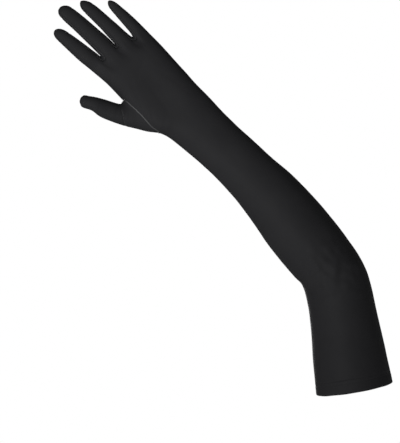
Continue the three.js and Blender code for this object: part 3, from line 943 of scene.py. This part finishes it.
@dataclass
class Creasing:
    """What a taut cloth shows over an arm: folds at the elbow, drag lines and a faint unevenness.

    Folds lie on the sleeve up to fold_end. Creases and mounds lie above the height crease_from, and a
    crease has a lip beside it. mottle_at and mottle_around are a middle and a spread.
    """

    folds: tuple[Fold, ...] = FOLDS
    creases: tuple[Crease, ...] = CREASES
    mounds: tuple[Mound, ...] = MOUNDS
    fold_end: float = 372.0
    crease_from: float = 325.0
    reach: float = 3.0
    lip: float = 0.35
    lip_width: float = 2.6
    mottle: float = 1.5
    mottle_scale: float = 9.0
    mottle_at: tuple[float, float] = (134.0, 30.0)
    mottle_around: tuple[float, float] = (272.0, 56.0)
    mottle_shift = Vector((2, 9, 4))
    uneven: float = 0.28
    uneven_scale: float = 26.0
    ripple: float = 0.1
    ripple_scale: float = 9.0
    ripple_shift = Vector((7, 3, 5))

    def lift(self, point: Vector, normal: Vector, s: float, turn: float) -> float:
        """How far the cloth stands out at a point.

        Args:
            point: the point, in millimetres.
            normal: the way the cloth faces there.
            s: its length from the arm opening.
            turn: its degrees round the section.

        Returns:
            The distance, below nought where the cloth lies in.
        """
        rise = self.uneven * noise.noise(point / self.uneven_scale)
        rise += self.ripple * noise.noise(point / self.ripple_scale + self.ripple_shift)
        if s < self.fold_end:
            rise += self.sleeve_lift(point, s, turn)
        if point.z > self.crease_from:
            rise += self.crease_lift(point, normal) + self.mound_lift(point, normal)
        return rise

    def sleeve_lift(self, point: Vector, s: float, turn: float) -> float:
        """What the folds and the mottling of the elbow add on the sleeve.

        Args:
            point: the point, in millimetres.
            s: its length from the arm opening.
            turn: its degrees round the section.

        Returns:
            The distance.
        """
        near = bell(s - self.mottle_at[0], self.mottle_at[1])
        near *= bell(turn - self.mottle_around[0], self.mottle_around[1])
        rise = self.mottle * near * noise.noise(point / self.mottle_scale + self.mottle_shift)
        for fold in self.folds:
            apart = (turn - fold.around + 540) % 360 - 180
            off = s - fold.at - fold.slope * apart / 10
            if abs(off) < self.reach * fold.width:
                rise += fold.rise * bell(off, fold.width) * bell(apart, fold.spread)
        return rise

    def crease_lift(self, point: Vector, normal: Vector) -> float:
        """What the short creases add on the side of the hand that they lie on.

        Args:
            point: the point, in millimetres.
            normal: the way the cloth faces there.

        Returns:
            The distance.
        """
        rise = 0.0
        for crease in self.creases:
            facing = max(0.0, normal.y * crease.side.value)
            dx, dz = point.x - crease.x, point.z - crease.z
            if facing == 0 or abs(dx) + abs(dz) > self.reach * crease.length:
                continue
            heading = math.radians(crease.heading)
            along = dx * math.sin(heading) + dz * math.cos(heading)
            off = dx * math.cos(heading) - dz * math.sin(heading)
            form = bell(off, crease.width) - self.lip * bell(off, self.lip_width * crease.width)
            rise += crease.rise * bell(along, crease.length) * form * math.sqrt(facing)
        return rise

    def mound_lift(self, point: Vector, normal: Vector) -> float:
        """What the broad mounds add on the side of the hand that they lie on.

        Args:
            point: the point, in millimetres.
            normal: the way the cloth faces there.

        Returns:
            The distance.
        """
        rise = 0.0
        for mound in self.mounds:
            near = bell(point.x - mound.x, mound.wide) * bell(point.z - mound.z, mound.high)
            rise += mound.rise * near * max(0.0, normal.y * mound.side.value)
        return rise


def clear_selection() -> None:
    """Leaves nothing selected and nothing active."""
    for obj in bpy.context.view_layer.objects:
        obj.select_set(False)
    bpy.context.view_layer.objects.active = None


def apply_modifiers(obj: bpy.types.Object) -> None:
    """Applies the modifiers of one piece in their order.

    Args:
        obj: the piece.
    """
    clear_selection()
    obj.select_set(True)
    bpy.context.view_layer.objects.active = obj
    for modifier in list(obj.modifiers):
        bpy.ops.object.modifier_apply(modifier=modifier.name)
    clear_selection()


def mesh_object(name: str, points: list[Vector], faces: list[tuple[int, ...]]) -> bpy.types.Object:
    """Makes an object at the origin from points in millimetres.

    Args:
        name: the object's name.
        points: its corners.
        faces: the corners of each face.

    Returns:
        The object, linked and smooth.
    """
    mesh = bpy.data.meshes.new(name)
    mesh.from_pydata([tuple(p * MM) for p in points], [], faces)
    mesh.polygons.foreach_set("use_smooth", [True] * len(mesh.polygons))
    obj = bpy.data.objects.new(name, mesh)
    bpy.context.scene.collection.objects.link(obj)
    return obj


@dataclass
class ClothMaker:
    """Turns the cage into the sewn pieces: subdivides it, creases it and parts it at its seams.

    seam_depth and side_depth are how far the cloth draws in at a seam. The outer side's marks fade from
    1 on its seam, side_fade times as fast as the distance in faces.
    """

    cage: Cage
    creasing: Creasing = field(default_factory=Creasing)
    levels: int = 2
    seam_depth: float = 0.32
    side_depth: float = 0.3
    side_fade: float = 4.0
    on_seam: float = 0.999
    side_points: set[int] = field(default_factory=set)

    def skin(self) -> bpy.types.Object:
        """The subdivided and creased cloth in one piece, each face marked with its piece.

        Returns:
            The cloth as one object, which only the sewn pieces and seams are made from.
        """
        cage = self.cage
        obj = mesh_object("cloth", cage.points, cage.quads)
        mesh = obj.data
        order = list(Piece)
        tags = mesh.attributes.new("piece", "INT", "FACE")
        tags.data.foreach_set("value", [order.index(p) for p in cage.pieces])
        turns = [math.radians(t) for t in cage.turn]
        marks = {
            "length": cage.length,
            "turn_x": [math.cos(t) for t in turns],
            "turn_y": [math.sin(t) for t in turns],
            "side_seam": [float(i in cage.seamed) for i in range(len(turns))],
        }
        for name, values in marks.items():
            mesh.attributes.new(name, "FLOAT", "POINT").data.foreach_set("value", values)
        uv = mesh.uv_layers.new(name="Weave")
        corners = [c for flat in cage.weave for pair in flat for c in (pair[0] * MM, pair[1] * MM)]
        uv.data.foreach_set("uv", corners)
        subdivide = obj.modifiers.new("Subdivide", "SUBSURF")
        subdivide.levels = subdivide.render_levels = self.levels
        apply_modifiers(obj)
        self.crease(obj)
        return obj

    def crease(self, obj: bpy.types.Object) -> None:
        """Moves each point of the cloth in or out by what the creasing says.

        Args:
            obj: the subdivided cloth, with its marks.
        """
        mesh = obj.data
        count = len(mesh.vertices)
        read = {}
        for name in ("length", "turn_x", "turn_y", "side_seam"):
            values = [0.0] * count
            mesh.attributes[name].data.foreach_get("value", values)
            read[name] = values
        normals = [v.vector.copy() for v in mesh.vertex_normals]
        seams = self.seam_points(mesh)
        for i, vertex in enumerate(mesh.vertices):
            turn = math.degrees(math.atan2(read["turn_y"][i], read["turn_x"][i])) % 360
            rise = self.creasing.lift(vertex.co / MM, normals[i], read["length"][i], turn)
            rise -= self.seam_depth if i in seams else 0.0
            rise -= self.side_depth * max(0.0, 1 - self.side_fade * (1 - read["side_seam"][i]))
            vertex.co += normals[i] * rise * MM
        self.side_points = {i for i, mark in enumerate(read["side_seam"]) if mark > self.on_seam}
        for name in read:
            mesh.attributes.remove(mesh.attributes[name])

    def seam_points(self, mesh: bpy.types.Mesh) -> set[int]:
        """The points at which two of the sewn pieces meet.

        Args:
            mesh: the whole cloth's mesh.

        Returns:
            The numbers of the points.
        """
        tags = [0] * len(mesh.polygons)
        mesh.attributes["piece"].data.foreach_get("value", tags)
        seen: dict[int, int] = {}
        found = set()
        for polygon, tag in zip(mesh.polygons, tags):
            for vertex in polygon.vertices:
                if seen.setdefault(vertex, tag) != tag:
                    found.add(vertex)
        return found

    def part(self, skin: bpy.types.Object, piece: Piece) -> bpy.types.Object:
        """One sewn piece of the cloth, with its thickness.

        Args:
            skin: the whole cloth.
            piece: the piece that is wanted.

        Returns:
            The piece as an object of its own.
        """
        mesh = skin.data.copy()
        obj = bpy.data.objects.new(piece.value, mesh)
        bpy.context.scene.collection.objects.link(obj)
        wanted = list(Piece).index(piece)
        shape = bmesh.new()
        shape.from_mesh(mesh)
        layer = shape.faces.layers.int["piece"]
        bmesh.ops.delete(shape, geom=[f for f in shape.faces if f[layer] != wanted], context="FACES")
        shape.to_mesh(mesh)
        shape.free()
        mesh.attributes.remove(mesh.attributes["piece"])
        wall = obj.modifiers.new("Wall", "SOLIDIFY")
        wall.thickness = CLOTH * MM
        wall.offset = -1
        wall.use_even_offset = False
        apply_modifiers(obj)
        return obj

    def seam_paths(self, skin: bpy.types.Object) -> dict[frozenset[Piece], list[list[int]]]:
        """The lines of points along which the pieces meet.

        Args:
            skin: the whole cloth.

        Returns:
            For each two pieces that meet, their lines.
        """
        mesh = skin.data
        tags = [0] * len(mesh.polygons)
        mesh.attributes["piece"].data.foreach_get("value", tags)
        order = list(Piece)
        edges: dict[tuple[int, int], set[int]] = {}
        for polygon, tag in zip(mesh.polygons, tags):
            for a, b in polygon.edge_keys:
                edges.setdefault((a, b), set()).add(tag)
        lines: dict[frozenset[Piece], dict[int, list[int]]] = {}
        for (a, b), met in edges.items():
            if len(met) == 2:
                links = lines.setdefault(frozenset(order[m] for m in met), {})
                links.setdefault(a, []).append(b)
                links.setdefault(b, []).append(a)
        return {pair: walk(links) for pair, links in lines.items()}


def side_paths(skin: bpy.types.Object, marked: set[int]) -> list[list[int]]:
    """The line of the seam along the outer side, from the opening to the little finger's tip.

    Args:
        skin: the whole cloth.
        marked: its points on the seam.

    Returns:
        The line, as one path or more.
    """
    links: dict[int, list[int]] = {i: [] for i in marked}
    for edge in skin.data.edges:
        a, b = edge.vertices
        if a in marked and b in marked:
            links[a].append(b)
            links[b].append(a)
    return walk({i: near for i, near in links.items() if near})


def walk(links: dict[int, list[int]]) -> list[list[int]]:
    """Runs along linked points and gives each line in order, a closed one with its first point last.

    Args:
        links: the neighbours of each point.

    Returns:
        The lines.
    """
    left = {point: list(near) for point, near in links.items()}
    found = []
    ends = [p for p, near in links.items() if len(near) != 2] or [next(iter(links))]
    for start in [*ends, *links]:
        while left[start]:
            line = [start]
            while left[line[-1]]:
                after = left[line[-1]].pop(0)
                left[after].remove(line[-1])
                line.append(after)
                if len(links[after]) != 2:
                    break
            found.append(line)
    return found


END_SHARE = 0.35
END_GAIN = 0.3


def tube(path: Ring, radius: float, around: int, closed: bool) -> tuple[Ring, list[tuple[int, ...]]]:
    """A thin round cord of thread along a path.

    An open one starts and ends at END_SHARE of its thickness and gains END_GAIN at each point.

    Args:
        path: its middle line.
        radius: half its thickness.
        around: its points round.
        closed: whether it runs back into itself.

    Returns:
        Its points and faces.
    """
    count = len(path)
    points, faces = [], []
    side = Vector((0, 1, 0))
    for i, place in enumerate(path):
        before = path[(i - 1) % count] if closed or i else place
        after = path[(i + 1) % count] if closed or i < count - 1 else place
        way = (after - before).normalized()
        side = (side - way * side.dot(way)).normalized()
        up = way.cross(side)
        thin = 1.0 if closed else min(1.0, END_SHARE + END_GAIN * min(i, count - 1 - i))
        for k in range(around):
            turn = 2 * math.pi * k / around
            points.append(place + (side * math.cos(turn) + up * math.sin(turn)) * radius * thin)
    for i in range(count if closed else count - 1):
        j = (i + 1) % count
        for k in range(around):
            m = (k + 1) % around
            faces.append((i * around + k, i * around + m, j * around + m, j * around + k))
    if not closed:
        faces.append(tuple(range(around))[::-1])
        faces.append(tuple((count - 1) * around + k for k in range(around)))
    return points, faces


def joined(
    parts: list[tuple[Ring, list[tuple[int, ...]]]],
) -> tuple[Ring, list[tuple[int, ...]]]:
    """Puts several sets of points and faces together.

    Args:
        parts: the points and faces of each.

    Returns:
        The points and faces of all.
    """
    points: Ring = []
    faces: list[tuple[int, ...]] = []
    for made, sides in parts:
        faces += [tuple(len(points) + corner for corner in face) for face in sides]
        points += made
    return points, faces


@dataclass(frozen=True)
class Satin:
    """A dull near-black stretch satin: its colour, its gloss and its weave.

    Colour and roughness wander with a cloud, between shade and lighter, glossier and duller. The weave
    has floats along the cloth and a twill across them.
    """

    name: str
    shade: tuple[float, float, float] = (0.0165, 0.0165, 0.0178)
    lighter: tuple[float, float, float] = (0.0215, 0.0215, 0.0228)
    roughness: float = 0.6
    specular: float = 0.05
    sheen: float = 0.004
    sheen_roughness: float = 0.35
    glossier: float = 0.05
    duller: float = 0.06
    cloud_scale: float = 38.0
    cloud_detail: float = 3.0
    floats: float = 130.0
    twill: float = 40.3
    twill_phase: float = 1.7
    distortion: float = 0.6
    weave_bump: float = 0.05
    weave_depth: float = 0.00012

    def build(self) -> bpy.types.Material:
        """Makes the material.

        Returns:
            The material, which reads the cloth's own flat places and the object's coordinates.
        """
        material = bpy.data.materials.new(self.name)
        material.use_nodes = True
        tree = material.node_tree
        shader = tree.nodes["Principled BSDF"]
        shader.inputs["Specular IOR Level"].default_value = self.specular
        shader.inputs["Sheen Weight"].default_value = self.sheen
        shader.inputs["Sheen Roughness"].default_value = self.sheen_roughness
        place = tree.nodes.new("ShaderNodeTexCoord")
        cloud = tree.nodes.new("ShaderNodeTexNoise")
        cloud.inputs["Scale"].default_value = self.cloud_scale
        cloud.inputs["Detail"].default_value = self.cloud_detail
        tree.links.new(place.outputs["Object"], cloud.inputs["Vector"])
        shade = tree.nodes.new("ShaderNodeMix")
        shade.data_type = "RGBA"
        shade.inputs["A"].default_value = (*self.shade, 1)
        shade.inputs["B"].default_value = (*self.lighter, 1)
        tree.links.new(cloud.outputs["Fac"], shade.inputs["Factor"])
        tree.links.new(shade.outputs["Result"], shader.inputs["Base Color"])
        gloss = tree.nodes.new("ShaderNodeMapRange")
        gloss.inputs["To Min"].default_value = self.roughness - self.glossier
        gloss.inputs["To Max"].default_value = self.roughness + self.duller
        tree.links.new(cloud.outputs["Fac"], gloss.inputs["Value"])
        tree.links.new(gloss.outputs["Result"], shader.inputs["Roughness"])
        bump = self.weave(tree)
        tree.links.new(bump.outputs["Normal"], shader.inputs["Normal"])
        return material

    def weave(self, tree: bpy.types.NodeTree) -> bpy.types.Node:
        """Adds the weave: long floats along the cloth, stepped aside from row to row.

        Args:
            tree: the material's nodes.

        Returns:
            The bump node.
        """
        flat = tree.nodes.new("ShaderNodeUVMap")
        flat.uv_map = "Weave"
        waves = []
        bands = (("X", self.floats, 0.0), ("DIAGONAL", self.twill, self.twill_phase))
        for direction, scale, phase in bands:
            wave = tree.nodes.new("ShaderNodeTexWave")
            wave.bands_direction = direction
            wave.inputs["Scale"].default_value = scale
            wave.inputs["Phase Offset"].default_value = phase
            wave.inputs["Distortion"].default_value = self.distortion
            tree.links.new(flat.outputs["UV"], wave.inputs["Vector"])
            waves.append(wave)
        both = tree.nodes.new("ShaderNodeMath")
        both.operation = "MULTIPLY"
        tree.links.new(waves[0].outputs["Fac"], both.inputs[0])
        tree.links.new(waves[1].outputs["Fac"], both.inputs[1])
        bump = tree.nodes.new("ShaderNodeBump")
        bump.inputs["Strength"].default_value = self.weave_bump
        bump.inputs["Distance"].default_value = self.weave_depth
        tree.links.new(both.outputs["Value"], bump.inputs["Height"])
        return bump


@dataclass
class Hem:
    """The turned-up edge of the arm opening, run on from the sleeve's own edge, with its stitches.

    profile goes once round the band's section, as the length from the arm opening and the distance
    inside the cloth's outer face. wander moves the edge along the arm and puff moves it out and in.
    """

    line: MiddleLine
    edge: Ring
    dip: float = 2.0
    wander: float = 0.35
    wander_round: float = 2.2
    wander_shift: float = 4.0
    puff: float = 0.3
    puff_round: float = 4.0
    puff_along: float = 6.0
    sharp: float = 50.0
    weave_pitch: tuple[float, float] = (1.25, 2.5)
    stitch_at: float = 10.4
    stitch_length: float = 2.1
    stitch_gap: float = 0.9
    stitch_radius: float = 0.2
    stitch_sides: int = 5
    stitch_insets: tuple[float, ...] = (0.34, 0.1, 0.1, 0.34)
    profile: tuple[tuple[float, float], ...] = (
        (HEM_TOP, 0.0), (11.3, 0.0), (10.8, 0.06), (10.4, 0.13), (10.0, 0.06), (9.4, -0.06), (7.4, -0.1),
        (5.0, -0.06), (2.8, 0.0), (1.4, 0.03), (0.6, 0.16), (0.15, 0.45), (0.0, 0.85), (0.15, 1.28),
        (0.6, 1.58), (1.4, 1.72), (4.0, 1.75), (8.0, 1.75), (HEM_TOP, 1.75), (HEM_TOP, 1.3), (HEM_TOP, 0.8),
    )
    turns: list[float] = field(init=False)
    shifts: Ring = field(init=False)

    def __post_init__(self) -> None:
        """Sorts the sleeve's edge by its turn, and keeps how far it lies from the plain section."""
        found = sorted((self.turn_of(point), point) for point in self.edge)
        self.turns = [turn for turn, _ in found]
        self.shifts = [point - self.plain(HEM_TOP, turn, 0.0) for turn, point in found]

    def turn_of(self, point: Vector) -> float:
        """The degrees round the section at which a point of the sleeve's edge lies.

        Args:
            point: the point.

        Returns:
            The degrees, from 0 to 360.
        """
        at = self.line.section(HEM_TOP)
        away = point - Vector((at["x"], 0, at["z"]))
        x = away.dot(across(leaning(at["tilt"]))) / (at["width"] / 2)
        y = away.y / (at["depth"] / 2)
        power = at["square"] / 2
        return math.degrees(math.atan2(signed_power(y, power), signed_power(x, power))) % 360

    def shift_at(self, turn: float) -> Vector:
        """How far the sleeve's edge lies from the plain section at its point nearest to a turn."""
        apart = [abs((other - turn + 180) % 360 - 180) for other in self.turns]
        return self.shifts[apart.index(min(apart))]

    def plain(self, s: float, turn: float, inset: float) -> Vector:
        """A point of the hem before the sleeve's own unevenness.

        Args:
            s: its length from the arm opening.
            turn: its degrees round the section.
            inset: how far inside the cloth's outer face it lies.

        Returns:
            The point.
        """
        at = self.line.section(max(0.0, s))
        facing = leaning(at["tilt"])
        c, v = math.cos(math.radians(turn)), math.sin(math.radians(turn))
        x = (at["width"] / 2 - inset) * signed_power(c, 2 / at["square"])
        y = (at["depth"] / 2 - inset) * signed_power(v, 2 / at["square"])
        share = min(1.0, max(0.0, 1 - s / HEM_TOP))
        round_edge = Vector((self.wander_round * c, self.wander_round * v, self.wander_shift))
        round_face = Vector((self.puff_round * c, self.puff_round * v, s / self.puff_along))
        puff = self.puff * share * noise.noise(round_face)
        fall = self.dip * share * y / (at["depth"] / 2) + self.wander * share * noise.noise(round_edge)
        point = Vector((at["x"], 0, at["z"])) + across(facing) * (x + puff * c) + facing * fall
        return point + Vector((0, y + puff * v, 0))

    def build(self) -> tuple[bpy.types.Object, bpy.types.Object]:
        """Makes the band and its stitches.

        Returns:
            Both objects.
        """
        rows, sides = len(self.profile), len(self.turns)
        points = [
            self.plain(s, turn, inset) + shift
            for s, inset in self.profile
            for turn, shift in zip(self.turns, self.shifts)
        ]
        faces = []
        for i in range(rows):
            k = (i + 1) % rows
            for j in range(sides):
                m = (j + 1) % sides
                faces.append((i * sides + j, k * sides + j, k * sides + m, i * sides + m))
        band = mesh_object("hem_band", points, faces)
        uv = band.data.uv_layers.new(name="Weave")
        along, up = (pitch * MM for pitch in self.weave_pitch)
        for polygon in band.data.polygons:
            for loop in polygon.loop_indices:
                vertex = band.data.loops[loop].vertex_index
                uv.data[loop].uv = (vertex % sides * along, vertex // sides * up)
        clear_selection()
        band.select_set(True)
        bpy.context.view_layer.objects.active = band
        bpy.ops.object.shade_smooth_by_angle(angle=math.radians(self.sharp))
        clear_selection()
        return band, self.stitches()

    def stitches(self) -> bpy.types.Object:
        """Makes the row of stitches round the top of the band.

        Returns:
            All the stitches as one object.
        """
        pitch = self.stitch_length + self.stitch_gap
        count = int(math.pi * self.line.at(0, "width") / pitch)
        steps = len(self.stitch_insets) - 1
        tubes = []
        for i in range(count):
            path = []
            for k, inset in enumerate(self.stitch_insets):
                turn = 360 * (i + self.stitch_length / pitch * k / steps) / count
                path.append(self.plain(self.stitch_at, turn, inset) + self.shift_at(turn))
            tubes.append(tube(path, self.stitch_radius, self.stitch_sides, False))
        return mesh_object("hem_stitches", *joined(tubes))


@dataclass(frozen=True)
class Lamp:
    """A soft square lamp: its place and aim in metres, its size, its power and its spread in degrees."""

    name: str
    place: tuple[float, float, float]
    aim: tuple[float, float, float]
    size: float
    power: float
    spread: float

    def build(self) -> None:
        """Adds the lamp to the scene."""
        data = bpy.data.lights.new(self.name, "AREA")
        data.size = self.size
        data.energy = self.power
        data.spread = math.radians(self.spread)
        lamp = bpy.data.objects.new(self.name, data)
        bpy.context.scene.collection.objects.link(lamp)
        lamp.location = self.place
        lamp.rotation_euler = (Vector(self.aim) - lamp.location).to_track_quat("-Z", "Y").to_euler()


@dataclass
class Studio:
    """The plain studio: a pale floor, soft light and the camera. Its lengths are in metres."""

    target: Vector = field(default_factory=lambda: Vector((9.6, 0.0, 247.8)) * MM)
    distance: float = 3.0
    frame_height: float = 0.4829
    sensor: float = 36.0
    farthest: float = 50.0
    floor_middle: tuple[float, float, float] = (0.05, 0.0, -0.42)
    floor_radius: float = 1.6
    floor_sides: int = 96
    floor_shade: float = 0.86
    floor_roughness: float = 0.8
    ambient: float = 0.17
    lamps: tuple[Lamp, ...] = (
        Lamp("key", (-0.46, -1.1, 0.5), (0.07, 0, 0.35), 0.8, 1.95, 52),
        Lamp("side", (-1.7, -0.4, 0.4), (0.05, 0, 0.36), 1.2, 1.0, 70),
        Lamp("back", (0.1, 2.1, 0.8), (0.06, 0, 0.27), 1.2, 6.0, 56),
    )

    def camera(self) -> None:
        """Sets the camera level with the glove, turned by 45 degrees about its line of sight."""
        data = bpy.data.cameras.new("camera")
        data.sensor_width = self.sensor
        data.lens = self.sensor * self.distance / self.frame_height
        data.clip_end = self.farthest
        obj = bpy.data.objects.new("camera", data)
        bpy.context.scene.collection.objects.link(obj)
        h = math.sqrt(0.5)
        turn = Matrix(((h, h, 0), (0, 0, -1), (-h, h, 0)))
        obj.matrix_world = Matrix.Translation(self.target + Vector((0, -self.distance, 0))) @ turn.to_4x4()
        bpy.context.scene.camera = obj

    def floor(self) -> None:
        """Lays the pale floor well under the glove."""
        clear_selection()
        bpy.ops.mesh.primitive_circle_add(
            vertices=self.floor_sides,
            radius=self.floor_radius,
            fill_type="NGON",
            location=self.floor_middle,
        )
        floor = bpy.context.object
        floor.name = "floor"
        material = bpy.data.materials.new("floor paper")
        material.use_nodes = True
        shader = material.node_tree.nodes["Principled BSDF"]
        shader.inputs["Base Color"].default_value = (*[self.floor_shade] * 3, 1)
        shader.inputs["Roughness"].default_value = self.floor_roughness
        floor.data.materials.append(material)

    def lights(self) -> None:
        """Adds the lamps and a white world, which is dimmed for all but what the camera sees."""
        scene = bpy.context.scene
        world = scene.world or bpy.data.worlds.new("world")
        scene.world = world
        world.use_nodes = True
        tree = world.node_tree
        dim = tree.nodes["Background"]
        dim.inputs["Color"].default_value = (1, 1, 1, 1)
        dim.inputs["Strength"].default_value = self.ambient
        paper = tree.nodes.new("ShaderNodeBackground")
        paper.inputs["Color"].default_value = (1, 1, 1, 1)
        seen = tree.nodes.new("ShaderNodeLightPath")
        both = tree.nodes.new("ShaderNodeMixShader")
        tree.links.new(seen.outputs["Is Camera Ray"], both.inputs["Fac"])
        tree.links.new(dim.outputs["Background"], both.inputs[1])
        tree.links.new(paper.outputs["Background"], both.inputs[2])
        tree.links.new(both.outputs["Shader"], tree.nodes["World Output"].inputs["Surface"])
        for lamp in self.lamps:
            lamp.build()
        scene.view_settings.view_transform = "Standard"

    def build(self) -> None:
        """Sets up the camera, the floor and the light."""
        self.camera()
        self.floor()
        self.lights()


@dataclass(frozen=True)
class Cut:
    """The flat cut of a sewn piece in metres, and the nodes that the piece replaces."""

    width: float
    length: float
    area: float
    nodes: tuple[str, ...]


SLEEVE_NODES = ("sleeve", "hand", "finger_index", "finger_middle", "finger_ring", "finger_little")
CUTS = {
    Piece.BODY: Cut(0.29, 0.56, 0.1, SLEEVE_NODES),
    Piece.FORK_INDEX_MIDDLE: Cut(0.024, 0.06, 0.0013, ("fourchette_index_middle",)),
    Piece.FORK_MIDDLE_RING: Cut(0.024, 0.06, 0.0013, ("fourchette_middle_ring",)),
    Piece.FORK_RING_LITTLE: Cut(0.024, 0.055, 0.0011, ("fourchette_ring_little",)),
    Piece.GUSSET: Cut(0.06, 0.045, 0.002, ("thumb_gusset",)),
    Piece.THUMB: Cut(0.07, 0.055, 0.0027, ("thumb",)),
}

SATIN = Satin("black stretch satin")
THREAD = Satin("black sewing thread", (0.026, 0.026, 0.0275), (0.032, 0.032, 0.0335), 0.5, 0.2, 0.01)
# The piping's raised form is real, but its colour, about twice as light as the satin's, is a painted
# highlight along the seam from the thumb's web to the wrist.
PIPING_WITH_PAINTED_HIGHLIGHT = Satin("black satin piping", (0.036, 0.036, 0.0375), (0.044, 0.044, 0.0455), 0.45, 0.3, 0.01)


@dataclass(frozen=True)
class SeamForm:
    """A seam's raised line: half its thickness, how far its middle lies inside the cloth, its finish."""

    radius: float
    sink: float
    finish: Satin
    sides: int = 6
    smoothings: int = 2

    def path(self, skin: bpy.types.Object, line: list[int]) -> Ring:
        """The middle of the raised line, evened out along its length.

        Args:
            skin: the whole cloth.
            line: its points along the seam, a closed one with its first point last.

        Returns:
            The points of the middle, without the first one again.
        """
        closed = line[0] == line[-1]
        points, normals = skin.data.vertices, skin.data.vertex_normals
        kept = line[:-1] if closed else line
        path = [points[i].co / MM - normals[i].vector * self.sink for i in kept]
        ends = () if closed else (0, len(path) - 1)
        for _ in range(self.smoothings):
            path = [
                p if i in ends else (path[i - 1] + p * 2 + path[(i + 1) % len(path)]) / 4
                for i, p in enumerate(path)
            ]
        return path

    def build(self, name: str, skin: bpy.types.Object, lines: list[list[int]]) -> bpy.types.Object:
        """Makes the seam along lines of the cloth's points.

        Args:
            name: the object's name.
            skin: the whole cloth.
            lines: the points along the seam.

        Returns:
            The object.
        """
        tubes = [
            tube(self.path(skin, line), self.radius, self.sides, line[0] == line[-1]) for line in lines
        ]
        return mesh_object(name, *joined(tubes))


SEAMS = {
    # The seam round the gusset is finished in the lighter piping, whose colour is a painted highlight.
    frozenset((Piece.BODY, Piece.GUSSET)): SeamForm(1.15, 0.45, PIPING_WITH_PAINTED_HIGHLIGHT),
    frozenset((Piece.GUSSET, Piece.THUMB)): SeamForm(0.55, 0.25, THREAD),
}
PLAIN_SEAM = SeamForm(0.34, 0.08, THREAD)
SIDE_SEAM = SeamForm(0.3, 0.1, THREAD)


def open_edge(skin: bpy.types.Object) -> Ring:
    """The points of the cloth's open edge, in millimetres.

    Args:
        skin: the whole cloth.

    Returns:
        The points, in no order round the edge.
    """
    used: dict[tuple[int, int], int] = {}
    for polygon in skin.data.polygons:
        for key in polygon.edge_keys:
            used[key] = used.get(key, 0) + 1
    rim = {i for key, count in used.items() if count == 1 for i in key}
    return [skin.data.vertices[i].co / MM for i in sorted(rim)]


def finish_piece(obj: bpy.types.Object, material: bpy.types.Material) -> None:
    """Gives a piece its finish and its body.

    Args:
        obj: the piece.
        material: its finish.
    """
    obj.data.materials.clear()
    obj.data.materials.append(material)
    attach(obj, "root")
    log.info("%s: %d faces", obj.name, len(obj.data.polygons))


def main() -> None:
    """Builds the glove and its studio."""
    logging.basicConfig(level=logging.INFO, format="%(message)s")
    Studio().build()
    finishes = {finish: finish.build() for finish in (SATIN, THREAD, PIPING_WITH_PAINTED_HIGHLIGHT)}
    glove = Glove()
    maker = ClothMaker(glove.build())
    skin = maker.skin()
    made = {piece: maker.part(skin, piece) for piece in Piece}
    hem, stitches = Hem(glove.line, open_edge(skin)).build()
    for pair, lines in maker.seam_paths(skin).items():
        form = SEAMS.get(pair, PLAIN_SEAM)
        name = "seam_" + "_to_".join(sorted(piece.name.lower() for piece in pair))
        finish_piece(form.build(name, skin, lines), finishes[form.finish])
    side = SIDE_SEAM.build("seam_outer_side", skin, side_paths(skin, maker.side_points))
    finish_piece(side, finishes[SIDE_SEAM.finish])
    bpy.data.objects.remove(skin)
    for piece, obj in made.items():
        finish_piece(obj, finishes[SATIN])
        cut = CUTS[piece]
        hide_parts(*cut.nodes)
    finish_piece(hem, finishes[SATIN])
    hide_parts("hem")
    finish_piece(stitches, finishes[THREAD])


if __name__ == "__main__":
    main()
